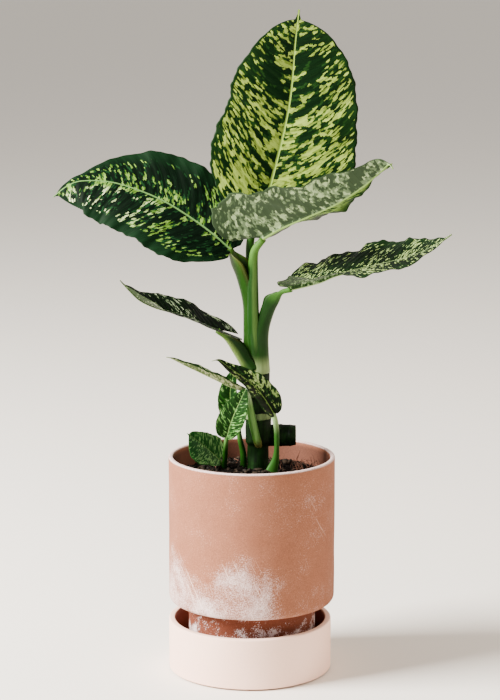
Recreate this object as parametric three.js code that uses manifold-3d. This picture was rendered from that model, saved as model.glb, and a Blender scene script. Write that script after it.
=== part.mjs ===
// A potted dieffenbachia: a short green cane with ten patterned leaves, standing in soil in a
// straight-sided terracotta pot, whose narrower foot stands in a shallow saucer.
// Millimetres, +Z up. The origin is on the pot's axis, at the height of the saucer's underside.
// Seen from the front, +X is to the right and -Y is towards the viewer.
import * as THREE from 'three';
import { mergeVertices } from 'three/addons/utils/BufferGeometryUtils.js';
import Module from 'manifold-3d';

const wasm = await Module();
wasm.setup();

// Driving dimensions
const TOUCH = 0.3; // gap kept between pieces that touch
const ROUND_STEPS = 40; // sides of the pot, the saucer and the soil

const SAUCER = { radius: 73.8, height: 47.5, wall: 5.8, floor: 5, foot_round: 3, shift: -1.6 };

const POT = {
  radius: 75,
  top: 198, // height of the rim
  wall: 4,
  underside: 64.5, // height of the wide body's underside
  body_round: 5,
  foot_radius: 57.5,
  foot_wall: 6,
  floor: 7,
  drain_radius: 8,
};

const SOIL = { edge: 178, crown: 183.5, lump: 1.8 }; // heights of its surface at the wall and the middle

const CANE = {
  x: 5.8,
  y: 8,
  bottom: 120, // buried end
  top: 273.5,
  foot_radius: 9.7,
  ledge: 208, // where the wider section starts
  radius: 11.6,
  ring: 232, // height of the pale leaf scar
  neck_radius: 10.4,
};
const STUB = { radius: 9.8, height: 213.5, end: 40.2, y: 12 }; // cut side shoot, pointing to +X

const BLADE_THICKNESS = 0.9;
const BASE_EDGE = 0.02; // where a blade's margin starts, as a share of its length
const DEGREE = Math.PI / 180;

// Colours
const COLOUR = {
  terracotta: '#bd8c74',
  saucer: '#ecd6cc',
  soil: '#2b211b',
  cane: '#28411f',
  petiole: '#6f9a4c',
  upper_leaf: '#35602f',
};

// Small mathematics

// Smooth curve through evenly spaced numbers, read at a from 0 to 1.
function between(values, a) {
  const last = values.length - 1;
  if (last === 0) return values[0];
  const place = Math.min(Math.max(a, 0), 1) * last;
  const i = Math.min(Math.floor(place), last - 1);
  const t = place - i;
  const p1 = values[i];
  const p2 = values[i + 1];
  const p0 = i > 0 ? values[i - 1] : 2 * p1 - p2;
  const p3 = i + 2 <= last ? values[i + 2] : 2 * p2 - p1;
  const cubic = 3 * p1 - p0 - 3 * p2 + p3;
  const square = 2 * p0 - 5 * p1 + 4 * p2 - p3;
  return p1 + 0.5 * ((p2 - p0) * t + square * t * t + cubic * t * t * t);
}

function pointBetween(points, a) {
  return new THREE.Vector3(
    between(points.map((p) => p[0]), a),
    between(points.map((p) => p[1]), a),
    between(points.map((p) => p[2]), a),
  );
}

// A curve through points, read by its length: at(0) is its start and at(1) its end. Before the
// start it goes straight on backwards.
class Route {
  constructor(points) {
    const steps = 80;
    this.samples = [];
    this.lengths = [0];
    for (let i = 0; i <= steps; i += 1) this.samples.push(pointBetween(points, i / steps));
    for (let i = 1; i <= steps; i += 1) {
      this.lengths.push(this.lengths[i - 1] + this.samples[i].distanceTo(this.samples[i - 1]));
    }
    this.length = this.lengths[steps];
  }

  at(a) {
    const wanted = a * this.length;
    let i = 1;
    while (i < this.samples.length - 1 && this.lengths[i] < wanted) i += 1;
    const t = (wanted - this.lengths[i - 1]) / (this.lengths[i] - this.lengths[i - 1]);
    return this.samples[i - 1].clone().lerp(this.samples[i], t);
  }

  direction(a) {
    const middle = Math.min(Math.max(a, 0.02), 0.98);
    return this.at(middle + 0.02).sub(this.at(middle - 0.02)).normalize();
  }
}

// The part of a vector that is square to a direction, at unit length.
function squareTo(direction, vector) {
  return vector.clone().addScaledVector(direction, -vector.dot(direction)).normalize();
}

// Closed solids

// A geometry from points and triangles, turned so that its faces point out.
function closed(points, triangles) {
  let volume = 0;
  for (const [a, b, c] of triangles) {
    volume += points[a].dot(new THREE.Vector3().crossVectors(points[b], points[c]));
  }
  const facing = volume < 0 ? triangles.map(([a, b, c]) => [a, c, b]) : triangles;
  const geometry = new THREE.BufferGeometry();
  const numbers = points.flatMap((p) => [p.x, p.y, p.z]);
  geometry.setAttribute('position', new THREE.Float32BufferAttribute(numbers, 3));
  geometry.setIndex(facing.flat());
  return geometry;
}

function turned(outline) {
  const points = outline.map(([radius, z]) => new THREE.Vector2(radius, z));
  return new THREE.LatheGeometry(points, ROUND_STEPS).rotateX(Math.PI / 2);
}

function toSolid(geometry) {
  const bare = geometry.clone();
  bare.deleteAttribute('normal');
  bare.deleteAttribute('uv');
  const merged = mergeVertices(bare, 1e-4);
  return new wasm.Manifold(new wasm.Mesh({
    numProp: 3,
    vertProperties: new Float32Array(merged.attributes.position.array),
    triVerts: new Uint32Array(merged.index.array),
  }));
}

// The largest body of a solid: a cut may leave loose scraps, which are dropped.
function toGeometry(solid) {
  const bodies = solid.decompose();
  bodies.sort((a, b) => b.volume() - a.volume());
  const mesh = bodies[0].getMesh();
  const geometry = new THREE.BufferGeometry();
  const positions = new Float32Array(mesh.vertProperties);
  geometry.setAttribute('position', new THREE.BufferAttribute(positions, 3));
  geometry.setIndex(new THREE.BufferAttribute(new Uint32Array(mesh.triVerts), 1));
  return geometry;
}

function cutBy(geometry, cutters) {
  let solid = toSolid(geometry);
  for (const cutter of cutters) solid = solid.subtract(toSolid(cutter));
  return toGeometry(solid);
}

// Pot, saucer and soil

function saucerGeometry() {
  const { radius, height, wall, floor, foot_round: round } = SAUCER;
  const inner = radius - wall;
  const outline = [
    [0, 0],
    [radius - round, 0],
    [radius - round * 0.3, round * 0.3],
    [radius, round],
    [radius, height - 1],
    [radius - 1, height],
    [inner + 1, height],
    [inner, height - 1],
    [inner, floor + 2],
    [inner - 2, floor],
    [0, floor],
  ];
  return turned(outline).translate(SAUCER.shift, 0, 0);
}

const FOOT_BOTTOM = SAUCER.floor + TOUCH;
const FOOT_INSIDE = POT.foot_radius - POT.foot_wall;
const POT_FLOOR = FOOT_BOTTOM + POT.floor;
const SHELF = POT.underside + POT.floor; // inside, above the wide body's underside

function potGeometry() {
  const { radius, top, wall, underside, body_round: round } = POT;
  const inner = radius - wall;
  const outline = [
    [POT.drain_radius, FOOT_BOTTOM],
    [POT.foot_radius - 1.5, FOOT_BOTTOM],
    [POT.foot_radius, FOOT_BOTTOM + 1.5],
    [POT.foot_radius, underside],
    [radius - round, underside],
    [radius - round * 0.3, underside + round * 0.3],
    [radius, underside + round],
    [radius, top - 1],
    [radius - 1, top],
    [inner + 0.8, top],
    [inner, top - 0.8],
    [inner, SHELF],
    [FOOT_INSIDE, SHELF],
    [FOOT_INSIDE, POT_FLOOR],
    [POT.drain_radius, POT_FLOOR],
    [POT.drain_radius, FOOT_BOTTOM],
  ];
  return turned(outline);
}

// The soil fills the pot down to its floor. Its surface rises a little to the middle, with lumps.
function soilGeometry(stems) {
  const wallRadius = POT.radius - POT.wall - TOUCH;
  const footRadius = FOOT_INSIDE - TOUCH;
  const rings = 6;
  const outline = [
    [0, POT_FLOOR + TOUCH],
    [footRadius, POT_FLOOR + TOUCH],
    [footRadius, SHELF + TOUCH],
    [wallRadius, SHELF + TOUCH],
  ];
  for (let i = 0; i <= rings; i += 1) {
    const share = 1 - i / rings;
    outline.push([wallRadius * share, SOIL.edge + (SOIL.crown - SOIL.edge) * (1 - share * share)]);
  }
  const geometry = turned(outline);
  const place = geometry.attributes.position;
  for (let i = 0; i < place.count; i += 1) {
    const x = place.getX(i);
    const y = place.getY(i);
    const fromWall = 1 - Math.hypot(x, y) / wallRadius;
    if (place.getZ(i) < SOIL.edge - 1 || fromWall < 0.02) continue;
    const lumps = Math.sin(x * 0.31 + 1.3) * Math.cos(y * 0.27) + 0.6 * Math.sin(x * 0.17 - y * 0.43);
    place.setZ(i, place.getZ(i) + SOIL.lump * lumps);
  }
  return cutBy(geometry, stems);
}

// Cane

function caneGeometry(grow) {
  const neck = CANE.neck_radius;
  const outline = [
    [0, CANE.bottom],
    [CANE.foot_radius - 3, CANE.bottom],
    [CANE.foot_radius, CANE.bottom + 4],
    [CANE.foot_radius, CANE.ledge - 1.5],
    [CANE.radius, CANE.ledge + 0.5],
    [CANE.radius, CANE.ring - 4],
    [CANE.radius + 0.6, CANE.ring],
    [neck + 0.3, CANE.ring + 4],
    [neck, CANE.ring + 18],
    [neck + 0.7, CANE.ring + 20],
    [neck, CANE.ring + 22],
    [neck, CANE.top - 0.8],
    [neck - 0.8, CANE.top],
    [0, CANE.top],
  ];
  const grown = outline.map(([radius, z]) => {
    const height = z === CANE.top ? z + grow : z;
    return new THREE.Vector2(radius > 0 ? radius + grow : 0, height);
  });
  const stem = new THREE.LatheGeometry(grown, 20).rotateX(Math.PI / 2).translate(CANE.x, CANE.y, 0);
  const length = STUB.end - CANE.x;
  const radius = STUB.radius;
  const rings = [
    [0, 0],
    [radius, 0],
    [radius, length * 0.55],
    [radius + 0.5, length * 0.6],
    [radius, length * 0.65],
    [radius, length * 0.8],
    [radius + 0.5, length * 0.84],
    [radius - 0.2, length * 0.9],
    [radius - 1, length],
    [0, length],
  ];
  const shoot = new THREE.LatheGeometry(
    rings.map(([r, x]) => new THREE.Vector2(r > 0 ? r + grow : 0, x > 0 ? x + grow : 0)),
    16,
  );
  shoot.rotateZ(-Math.PI / 2).translate(CANE.x, STUB.y, STUB.height);
  return toGeometry(toSolid(stem).add(toSolid(shoot)));
}

// Leaf stalks

// A stalk's section lies between two arcs of half-width a, one reaching b outwards and one e.
// With e = -b it is round, and with e a little less than b it is a sheath, hollow towards the
// cane. The route runs through the middle of its keel. Evenly spaced stations along the route
// have their own [a, b, e], and the way out turns from the first vector to the last.
function stalkGeometry(stalk, grow) {
  const route = new Route(stalk.route);
  const steps = stalk.steps;
  const corners = [-75, -45, -15, 15, 45, 75].map((angle) => angle * DEGREE);
  const points = [];
  const triangles = [];
  const ringSize = corners.length * 2;
  for (let i = 0; i <= steps; i += 1) {
    const along = i / steps;
    const direction = route.direction(along);
    const out = squareTo(direction, pointBetween(stalk.outward, along));
    const side = new THREE.Vector3().crossVectors(direction, out);
    const middle = route.at(along);
    if (i === 0) middle.addScaledVector(direction, -grow);
    if (i === steps) middle.addScaledVector(direction, grow);
    const [a, b, e] = [0, 1, 2].map((k) => between(stalk.section.map((s) => s[k]), along));
    const place = (reach, angle) => points.push(middle.clone()
      .addScaledVector(out, reach * Math.cos(angle) - (b + e) / 2)
      .addScaledVector(side, (a + grow) * Math.sin(angle)));
    for (const angle of corners) place(b + grow, angle);
    for (const angle of corners.slice().reverse()) place(e - grow, angle);
  }
  for (let i = 0; i < steps; i += 1) {
    for (let j = 0; j < ringSize; j += 1) {
      const k = (j + 1) % ringSize;
      const low = i * ringSize;
      const high = low + ringSize;
      triangles.push([low + j, low + k, high + k], [low + j, high + k, high + j]);
    }
  }
  for (const [start, flip] of [[0, true], [steps * ringSize, false]]) {
    for (let j = 0; j < corners.length - 1; j += 1) {
      const [p, q] = [start + j, start + j + 1];
      const [r, s] = [start + ringSize - 2 - j, start + ringSize - 1 - j];
      triangles.push(flip ? [p, r, q] : [p, q, r], flip ? [p, s, r] : [p, r, s]);
    }
  }
  return closed(points, triangles);
}

// Leaf blades

// Share of the greatest half-width at s, which runs from the back of the lobes (0) to the tip (1).
function breadth(leaf, s) {
  const body = 1 - leaf.tip;
  const [base, end] = leaf.shape;
  const peak = (base / (base + end)) * body;
  const inside = Math.max(body - s, 0) / (body - peak);
  const plain = (Math.max(s, 0) / peak) ** base * inside ** end;
  const point = 0.13 * Math.min((1 - s) / (2 * leaf.tip), 1) ** 1.4;
  return Math.hypot(plain, point);
}

// A point of a blade's middle surface. u runs along the midrib, t from the midrib to the margin
// of the side (-1 left, +1 right, seen on the upper face with the tip ahead).
function bladePoint(leaf, route, u, t, side) {
  const start = -leaf.lobe + BASE_EDGE * (1 + leaf.lobe);
  const margin = start + (1 - start) * u + leaf.lean * Math.sin(Math.PI * u);
  const along = u + (margin - u) * t ** 1.4;
  const share = breadth(leaf, (margin + leaf.lobe) / (1 + leaf.lobe));
  const sideName = side < 0 ? 'left' : 'right';
  const out = t * share * between(leaf.half[sideName], along);
  const direction = route.direction(along);
  const face = squareTo(direction, pointBetween(leaf.face, along));
  const across = new THREE.Vector3().crossVectors(direction, face).multiplyScalar(side);
  const fold = between(leaf.fold[sideName], along) * DEGREE;
  const bend = between(leaf.curl[sideName], along) * DEGREE * t + 1e-5;
  const level = out * (Math.sin(fold + bend) - Math.sin(fold)) / bend;
  const raised = out * (Math.cos(fold) - Math.cos(fold + bend)) / bend;
  const turns = leaf.waves.count * margin + leaf.waves.phase + (side > 0 ? 0.37 : 0);
  const wave = leaf.waves.height * t * t * share * Math.sin(2 * Math.PI * turns);
  return route.at(along).addScaledVector(across, level).addScaledVector(face, raised + wave);
}

// The blade is a thin solid: the same grid on both faces, and a ridge under the midrib that
// thins out to the tip.
function bladeGeometry(leaf) {
  const route = new Route(leaf.rib);
  const { steps, columns } = leaf;
  const grid = [];
  for (let i = 0; i <= steps; i += 1) {
    const even = i / steps;
    const u = 0.55 * even + 0.225 * (1 - Math.cos(Math.PI * even));
    const row = [];
    for (let j = -columns; j <= columns; j += 1) {
      const side = j < 0 ? -1 : 1;
      const share = breadth(leaf, (u + leaf.lobe) / (1 + leaf.lobe));
      const ribEdge = Math.min(leaf.rib_size[0] * (1 - 0.6 * u) / (share * leaf.half.left[0] + 1), 0.4);
      const outer = (Math.abs(j) - 1) / (columns - 1);
      const t = j === 0 ? 0 : ribEdge + (1 - ribEdge) * outer;
      row.push(bladePoint(leaf, route, u, t, side));
    }
    grid.push(row);
  }
  const width = 2 * columns + 1;
  const points = [];
  const under = [];
  for (let i = 0; i <= steps; i += 1) {
    for (let j = 0; j < width; j += 1) {
      const ahead = grid[Math.min(i + 1, steps)][j].clone().sub(grid[Math.max(i - 1, 0)][j]);
      const aside = grid[i][Math.min(j + 1, width - 1)].clone().sub(grid[i][Math.max(j - 1, 0)]);
      const normal = new THREE.Vector3().crossVectors(aside, ahead).normalize();
      const onRib = j === columns ? leaf.rib_size[1] * (1 - 0.8 * (i / steps)) : 0;
      points.push(grid[i][j].clone().addScaledVector(normal, BLADE_THICKNESS / 2));
      under.push(grid[i][j].clone().addScaledVector(normal, -BLADE_THICKNESS / 2 - onRib));
    }
  }
  const count = points.length;
  const triangles = [];
  for (let i = 0; i < steps; i += 1) {
    for (let j = 0; j < width - 1; j += 1) {
      const a = i * width + j;
      const b = a + width;
      triangles.push([a, a + 1, b + 1], [a, b + 1, b]);
      triangles.push([count + a, count + b + 1, count + a + 1], [count + a, count + b, count + b + 1]);
    }
  }
  const rim = [];
  for (let j = 0; j < width; j += 1) rim.push(j);
  for (let i = 1; i <= steps; i += 1) rim.push(i * width + width - 1);
  for (let j = width - 2; j >= 0; j -= 1) rim.push(steps * width + j);
  for (let i = steps - 1; i >= 1; i -= 1) rim.push(i * width);
  for (let k = 0; k < rim.length; k += 1) {
    const a = rim[k];
    const b = rim[(k + 1) % rim.length];
    triangles.push([b, a, count + a], [b, count + a, count + b]);
  }
  return closed(points.concat(under), triangles);
}

// The leaves. Each has its blade (midrib points, the way its upper face looks along the midrib,
// the halves' widths and how far they are folded up and curled) and its stalk.
const LARGE = { steps: 20, columns: 4, rib_size: [2.4, 2.6] };
const NARROW = { steps: 20, columns: 3, rib_size: [1.8, 1.8] };
const SMALL = { steps: 14, columns: 3, rib_size: [1.2, 1.0] };

const LEAVES = [
  {
    name: 'upright',
    ...LARGE,
    rib: [[9.2, 15, 413.5], [18.2, 22, 446.3], [28.8, 29, 488.3], [34.9, 31, 521.9], [38.3, 29, 563.5],
      [41.6, 24, 595.2]],
    face: [[0, -1, 0.2], [0, -1, 0.1]],
    half: { left: [65, 64, 60.5, 55, 59.5, 54, 46], right: [64, 70, 64, 64.5, 65] },
    shape: [0.38, 0.5],
    tip: 0.05,
    lobe: 0.02,
    lean: 0.12,
    fold: { left: [16, 14, 10], right: [4, 10, 8] },
    curl: { left: [-10], right: [-10] },
    waves: { height: 1.5, count: 5, phase: 0.2 },
    stalk: {
      route: [[5.8, 11, 274], [2, 10.5, 320], [-1.5, 10, 365], [-0.5, 12, 395]],
      outward: [[0, 1, 0]],
      section: [[4.2, 4, -4], [3.8, 3.8, -3.8], [3.4, 3.4, -3.4]],
      steps: 9,
    },
  },
  {
    name: 'front',
    ...LARGE,
    rib: [[9, -12, 396.9], [25.5, -33, 409.4], [48.2, -62, 423.2], [71.8, -92, 438], [92, -115, 454.5],
      [106, -130, 468.5], [112.5, -139.5, 475.5], [115.7, -147, 472.5]],
    face: [[0, 0, 1], [0, 0, 1]],
    half: { left: [45, 36, 25, 14, 11], right: [66, 62, 51, 40, 26] },
    shape: [0.36, 0.45],
    tip: 0.025,
    lobe: 0.16,
    lean: 0.1,
    fold: { left: [14, 4, -3, 6, 12], right: [33, 24, 28] },
    curl: { left: [0], right: [0] },
    waves: { height: 2, count: 4, phase: 0 },
    stalk: {
      route: [[3.8, 2, 274], [2.9, 0, 292], [1.7, -2, 313], [1.1, -4, 340], [1.1, -6, 367], [2.4, -9, 384],
        [7.3, -12, 392.4]],
      outward: [[0, -1, 0], [0, -1, -0.2], [0.1, -0.6, -0.8]],
      section: [[5.5, 5, 1.5], [5.4, 5, 0], [5.2, 5, -1], [4.6, 4.4, -3], [3, 3, -3]],
      steps: 14,
    },
  },
  {
    name: 'left',
    ...LARGE,
    rib: [[-18.4, -2, 384.8], [-33.5, 2, 397.6], [-51.3, 7, 410.4], [-76.2, 12, 425.5],
      [-101.2, 16, 436.1], [-126.2, 19, 442.9], [-151.2, 20, 443.7], [-164.4, 19.7, 439.2],
      [-177.2, 19, 429.5]],
    face: [[0.1, -0.8, 0.6], [0, -0.8, 0.6]],
    half: { left: [46, 55, 51, 46, 47, 50, 60], right: [58, 54, 48, 46, 37, 18, 8] },
    shape: [0.48, 0.56],
    tip: 0.025,
    lobe: 0.02,
    lean: 0.1,
    fold: { left: [12, 10, 0, -6], right: [-2, 4, -8, -36] },
    curl: { left: [-10], right: [0] },
    waves: { height: 1.6, count: 5, phase: 0.1 },
    stalk: {
      route: [[-4.2, 6, 274], [-6, 6, 291], [-6, 5, 307], [-6, 4, 322], [-6.4, 3, 336], [-8.2, 2, 350.5],
        [-11.8, 0, 365], [-15.3, -1, 375]],
      outward: [[-1, -0.2, 0], [-0.9, 0, -0.2], [-0.4, 0.6, -0.6]],
      section: [[8, 9, 6], [8, 9.5, 6.5], [8, 10, 7], [7.5, 10.5, 7.5], [7, 11, 8], [7, 11.5, 8.5],
        [6.5, 12, 8], [6, 13, 7], [5.5, 14, 7], [5, 15, 6], [2.8, 2.8, -2.8]],
      steps: 18,
    },
  },
  {
    name: 'right',
    ...LARGE,
    rib: [[33.9, -8, 351.7], [58.8, -18, 359.5], [74.5, -24, 366.6], [105.7, -36, 375.9],
      [136.2, -48, 385.6], [156.7, -57, 396.1], [171.8, -63, 407.3]],
    face: [[0, 0, 1], [0, 0, 1]],
    half: { left: [50, 36, 45, 46, 42], right: [40] },
    shape: [0.3, 0.66],
    tip: 0.05,
    lobe: 0.03,
    lean: 0.1,
    fold: { left: [25, 24, 23], right: [22, 4, -13, -20] },
    curl: { left: [0], right: [0] },
    waves: { height: 2, count: 4, phase: 0.35 },
    stalk: {
      route: [[14.2, 3.5, 274], [13.2, 3, 292], [13.2, 1, 308], [16.2, 0, 323], [21, -3, 337],
        [25.9, -6, 347]],
      outward: [[0.9, -0.45, 0], [0.8, -0.4, -0.4], [0.2, -0.1, -1]],
      section: [[10, 10, 7], [9.5, 10.5, 7.5], [9, 10.5, 7.5], [8.5, 10.5, 7.5], [8.5, 10, 7],
        [8, 9.5, 6.5], [7.5, 10, 6.5], [7, 10.5, 6.5], [5.5, 12, 6.5], [2.8, 3.4, -1], [2.4, 2.4, -2.4]],
      steps: 16,
    },
  },
  {
    name: 'low_left',
    ...NARROW,
    rib: [[-29.1, -6, 313.9], [-38.8, -10, 318.3], [-54.6, -17, 327.1], [-71.2, -22, 332.9],
      [-85.1, -26, 337.6], [-98, -30, 344.5], [-107.4, -33, 353.9], [-115.1, -35, 363]],
    face: [[0, 0, 1], [0, 0, 1]],
    half: { left: [30, 26, 25], right: [19, 23, 26, 24] },
    shape: [0.4, 0.7],
    tip: 0.05,
    lobe: 0.2,
    lean: 0.12,
    fold: { left: [-3, -3, 2, 17, 22], right: [32, 32, 30, 29] },
    curl: { left: [0], right: [0] },
    waves: { height: 0.7, count: 3, phase: 0.1 },
    stalk: {
      route: [[-4.2, 2, 274], [-10.5, 1, 284], [-17.6, -1, 296], [-23.8, -4, 306]],
      outward: [[-0.85, -0.5, 0], [-0.6, -0.4, -0.6], [-0.2, -0.1, -1]],
      section: [[9, 9, 6.5], [8, 9.5, 7], [7, 11, 8.5], [5, 8, 5.5], [2.6, 2.6, -2.6]],
      steps: 12,
    },
  },
  {
    name: 'folded',
    ...SMALL,
    rib: [[-6, -4, 257.7], [-19.4, -8, 263.1], [-30.6, -12, 269.3], [-45.9, -17, 277.6], [-60, -22, 285.3],
      [-71.3, -26, 291.9], [-75.6, -28, 293.2]],
    face: [[0, 0, 1], [0, 0, 1]],
    half: { left: [9.5], right: [9.5] },
    shape: [0.5, 0.8],
    tip: 0.05,
    lobe: 0.02,
    lean: 0.12,
    fold: { left: [32], right: [34] },
    curl: { left: [0], right: [0] },
    waves: { height: 0.6, count: 3, phase: 0.1 },
    stalk: {
      route: [[6.8, 2, 206], [4.4, -5, 214], [1.2, -6.5, 228], [-2.2, -6, 245], [-4.2, -5, 254]],
      outward: [[0, -1, 0], [0.3, -0.5, -0.8]],
      section: [[3.6, 3.4, -3.4], [3.6, 3.2, -3], [2.8, 2.6, -2.6]],
      steps: 10,
    },
  },
  {
    name: 'hooked',
    ...SMALL,
    rib: [[19.9, -16, 239.2], [12.7, -20, 251.9], [3.8, -24, 264.5], [-7.7, -28, 275.2],
      [-19.2, -32, 283.7], [-28.8, -35, 291.4], [-35.3, -38, 291.5]],
    face: [[0.25, -0.85, 0.45], [0.25, -0.85, 0.45]],
    half: { left: [10], right: [15, 12, 8] },
    shape: [0.4, 0.9],
    tip: 0.05,
    lobe: 0.02,
    lean: 0.12,
    fold: { left: [25], right: [25] },
    curl: { left: [0], right: [0] },
    waves: { height: 0.8, count: 4, phase: 0.1 },
    stalk: {
      route: [[12.5, -6.5, 164], [15.5, -7, 178], [21.6, -8, 197], [22.4, -11, 218.7], [21.2, -14, 232]],
      outward: [[0, 1, 0], [-0.2, 0.85, -0.45]],
      section: [[7, 3, -3], [5.5, 2.7, -2.7], [2.6, 2.5, -2.5], [2.4, 2.4, -2.4], [2.5, 2.5, -2.5]],
      steps: 12,
    },
  },
  {
    name: 'small',
    ...SMALL,
    rib: [[-22.6, -6, 215.4], [-19.4, -10, 227.8], [-14.9, -12, 240.2], [-9.6, -12, 252],
      [-4.2, -11, 263.7]],
    face: [[-0.1, -0.95, 0.2], [-0.1, -0.95, 0.2]],
    half: { left: [13], right: [9, 13, 14] },
    shape: [0.4, 0.8],
    tip: 0.05,
    lobe: 0.02,
    lean: 0.12,
    fold: { left: [16], right: [16] },
    curl: { left: [0], right: [0] },
    waves: { height: 0.6, count: 4, phase: 0.1 },
    stalk: {
      route: [[-25.6, 13, 160], [-25.2, 12, 181.1], [-23.9, 5, 196.8], [-23.2, -3, 209]],
      outward: [[0, 1, 0]],
      section: [[2.6, 2.4, -2.4], [2, 2, -2]],
      steps: 8,
    },
  },
  {
    name: 'rim',
    ...SMALL,
    rib: [[-28.9, 22, 188.1], [-37.9, 14, 198.4], [-47.6, 6, 208.6], [-58.1, -2, 218.6]],
    face: [[0.1, -0.75, 0.65], [0.1, -0.75, 0.65]],
    half: { left: [11, 16, 27, 42], right: [20, 16, 12, 10] },
    shape: [0.35, 0.5],
    tip: 0.05,
    lobe: 0.02,
    lean: 0.12,
    fold: { left: [10], right: [10] },
    curl: { left: [0], right: [0] },
    waves: { height: 0.8, count: 3, phase: 0.1 },
    stalk: {
      route: [[-23, 34, 160], [-25, 31, 172], [-26.6, 28, 180]],
      outward: [[0, 1, 0], [0, 0.75, -0.65]],
      section: [[2.2, 2.2, -2.2], [1.8, 1.8, -1.8]],
      steps: 6,
    },
  },
  {
    name: 'back',
    ...SMALL,
    rib: [[-12.4, 10, 220.6], [-16.9, 10, 235.4], [-19.6, 9, 250.4], [-17.7, 8, 265.3], [-12.3, 7, 279.3]],
    face: [[-0.1, -1, 0.1], [-0.1, -1, 0.1]],
    half: { left: [12], right: [8] },
    shape: [0.4, 0.8],
    tip: 0.05,
    lobe: 0.02,
    lean: 0.12,
    fold: { left: [12], right: [12] },
    curl: { left: [0], right: [0] },
    waves: { height: 0.6, count: 3, phase: 0.1 },
    stalk: {
      route: [[-8, 16, 160], [-7.5, 15.5, 175], [-7.6, 14, 195], [-10.6, 12, 210]],
      outward: [[0, 1, 0]],
      section: [[3.6, 3.4, -3.4], [3, 3, -3], [2.2, 2.2, -2.2]],
      steps: 8,
    },
  },
];

// A stalk ends square under the start of its midrib, flush with the upper face.
function joined(leaf) {
  const route = new Route(leaf.rib);
  const direction = route.direction(0);
  const face = squareTo(direction, pointBetween(leaf.face, 0));
  const radius = leaf.stalk.section.at(-1)[1];
  const end = route.at(0).addScaledVector(direction, -TOUCH).addScaledVector(face, -radius * 0.7);
  return { ...leaf.stalk, route: [...leaf.stalk.route, end.toArray()] };
}

// Assembly
const plant = new THREE.Group();

function add(name, geometry, colour, roughness) {
  const material = new THREE.MeshStandardMaterial({ color: colour, roughness, metalness: 0 });
  const mesh = new THREE.Mesh(geometry, material);
  mesh.name = name;
  plant.add(mesh);
}

const caneShell = caneGeometry(TOUCH);
const stalks = LEAVES.map(joined);
const shells = stalks.map((stalk) => stalkGeometry(stalk, TOUCH));

add('saucer', saucerGeometry(), COLOUR.saucer, 0.75);
add('pot', potGeometry(), COLOUR.terracotta, 0.9);
add('soil', soilGeometry([caneShell, ...shells]), COLOUR.soil, 1);
add('cane', caneGeometry(0), COLOUR.cane, 0.55);

LEAVES.forEach((leaf, i) => {
  const inner = [caneShell, ...shells.slice(0, i)];
  add(`${leaf.name}_stalk`, cutBy(stalkGeometry(stalks[i], 0), inner), COLOUR.petiole, 0.5);
  add(`${leaf.name}_blade`, cutBy(bladeGeometry(leaf), shells), COLOUR.upper_leaf, 0.45);
});

export default plant;
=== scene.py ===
# %% [markdown]
# # A potted dieffenbachia
#
# The object is a young house plant: ten speckled leaves on a short green cane, in a straight
# terracotta pot that stands in a shallow saucer. The solid model of the part is loaded first.
# It fixes every size and place, so each piece here is a finer skin over one of its nodes. The
# skins could be modelled freely, but sharing the solids' numbers keeps the two models in step.
# Lengths are in millimetres while a shape is worked out, and become metres when a mesh is made.

# %% Load the part
import math

import bmesh
import bpy
import numpy as np
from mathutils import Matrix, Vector, noise


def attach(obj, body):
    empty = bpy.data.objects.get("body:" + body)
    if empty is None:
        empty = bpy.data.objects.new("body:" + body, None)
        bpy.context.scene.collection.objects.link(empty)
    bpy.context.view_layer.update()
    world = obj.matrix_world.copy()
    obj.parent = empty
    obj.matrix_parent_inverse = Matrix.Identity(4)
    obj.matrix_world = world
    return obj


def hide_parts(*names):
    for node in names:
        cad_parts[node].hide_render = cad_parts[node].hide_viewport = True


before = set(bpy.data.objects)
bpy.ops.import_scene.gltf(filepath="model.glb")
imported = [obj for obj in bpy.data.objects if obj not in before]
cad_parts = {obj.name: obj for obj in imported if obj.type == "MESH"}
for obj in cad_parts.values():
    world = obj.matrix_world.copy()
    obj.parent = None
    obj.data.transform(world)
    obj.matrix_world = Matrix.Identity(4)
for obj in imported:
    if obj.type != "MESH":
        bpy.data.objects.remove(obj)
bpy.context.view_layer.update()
MM = 0.001
print("nodes:", len(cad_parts))

# %% [markdown]
# ## Camera
#
# The photograph was taken from a little above the leaves, about two metres away. A camera could
# be moved about by eye until the picture matches. Here the ellipses of the pot's rim and of the
# saucer were measured instead, because their flatness gives the tilt and their width gives the
# distance. It looks 10.6 degrees down, and a long lens keeps the pot's sides nearly parallel.

# %% Camera
FOCAL_PIXELS = 2300
FRAME_HEIGHT = 700  # pixels on the long side
SENSOR = 36
CAMERA_PLACE = (-0.00154, -2.0215, 0.67207)
CAMERA_DOWN = 10.586  # degrees below level
camera_data = bpy.data.cameras.new("camera")
camera_data.sensor_width = SENSOR
camera_data.lens = FOCAL_PIXELS / FRAME_HEIGHT * SENSOR
camera_data.clip_end = 200
camera = bpy.data.objects.new("camera", camera_data)
camera.location = CAMERA_PLACE
camera.rotation_euler = (math.radians(90 - CAMERA_DOWN), 0, 0)
bpy.context.scene.collection.objects.link(camera)
bpy.context.scene.camera = camera
print("lens:", round(camera_data.lens, 1), "mm")

# %% [markdown]
# ## Colours
#
# The colours of clay, soil and leaves are written as the sRGB values that an eye-dropper gives.
# The shader wants linear light. Linear numbers could be typed in, but nobody can picture them, so
# the hex values stay in the script, and one function turns them.

# %% Colours
def linear(hex_colour):
    channels = [int(hex_colour[i:i + 2], 16) / 255 for i in (1, 3, 5)]
    turned_back = [c / 12.92 if c <= 0.04045 else ((c + 0.055) / 1.055) ** 2.4 for c in channels]
    return (*turned_back, 1.0)


print("white is", linear("#ffffff")[:3], "and mid grey", round(linear("#808080")[0], 3))

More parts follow.
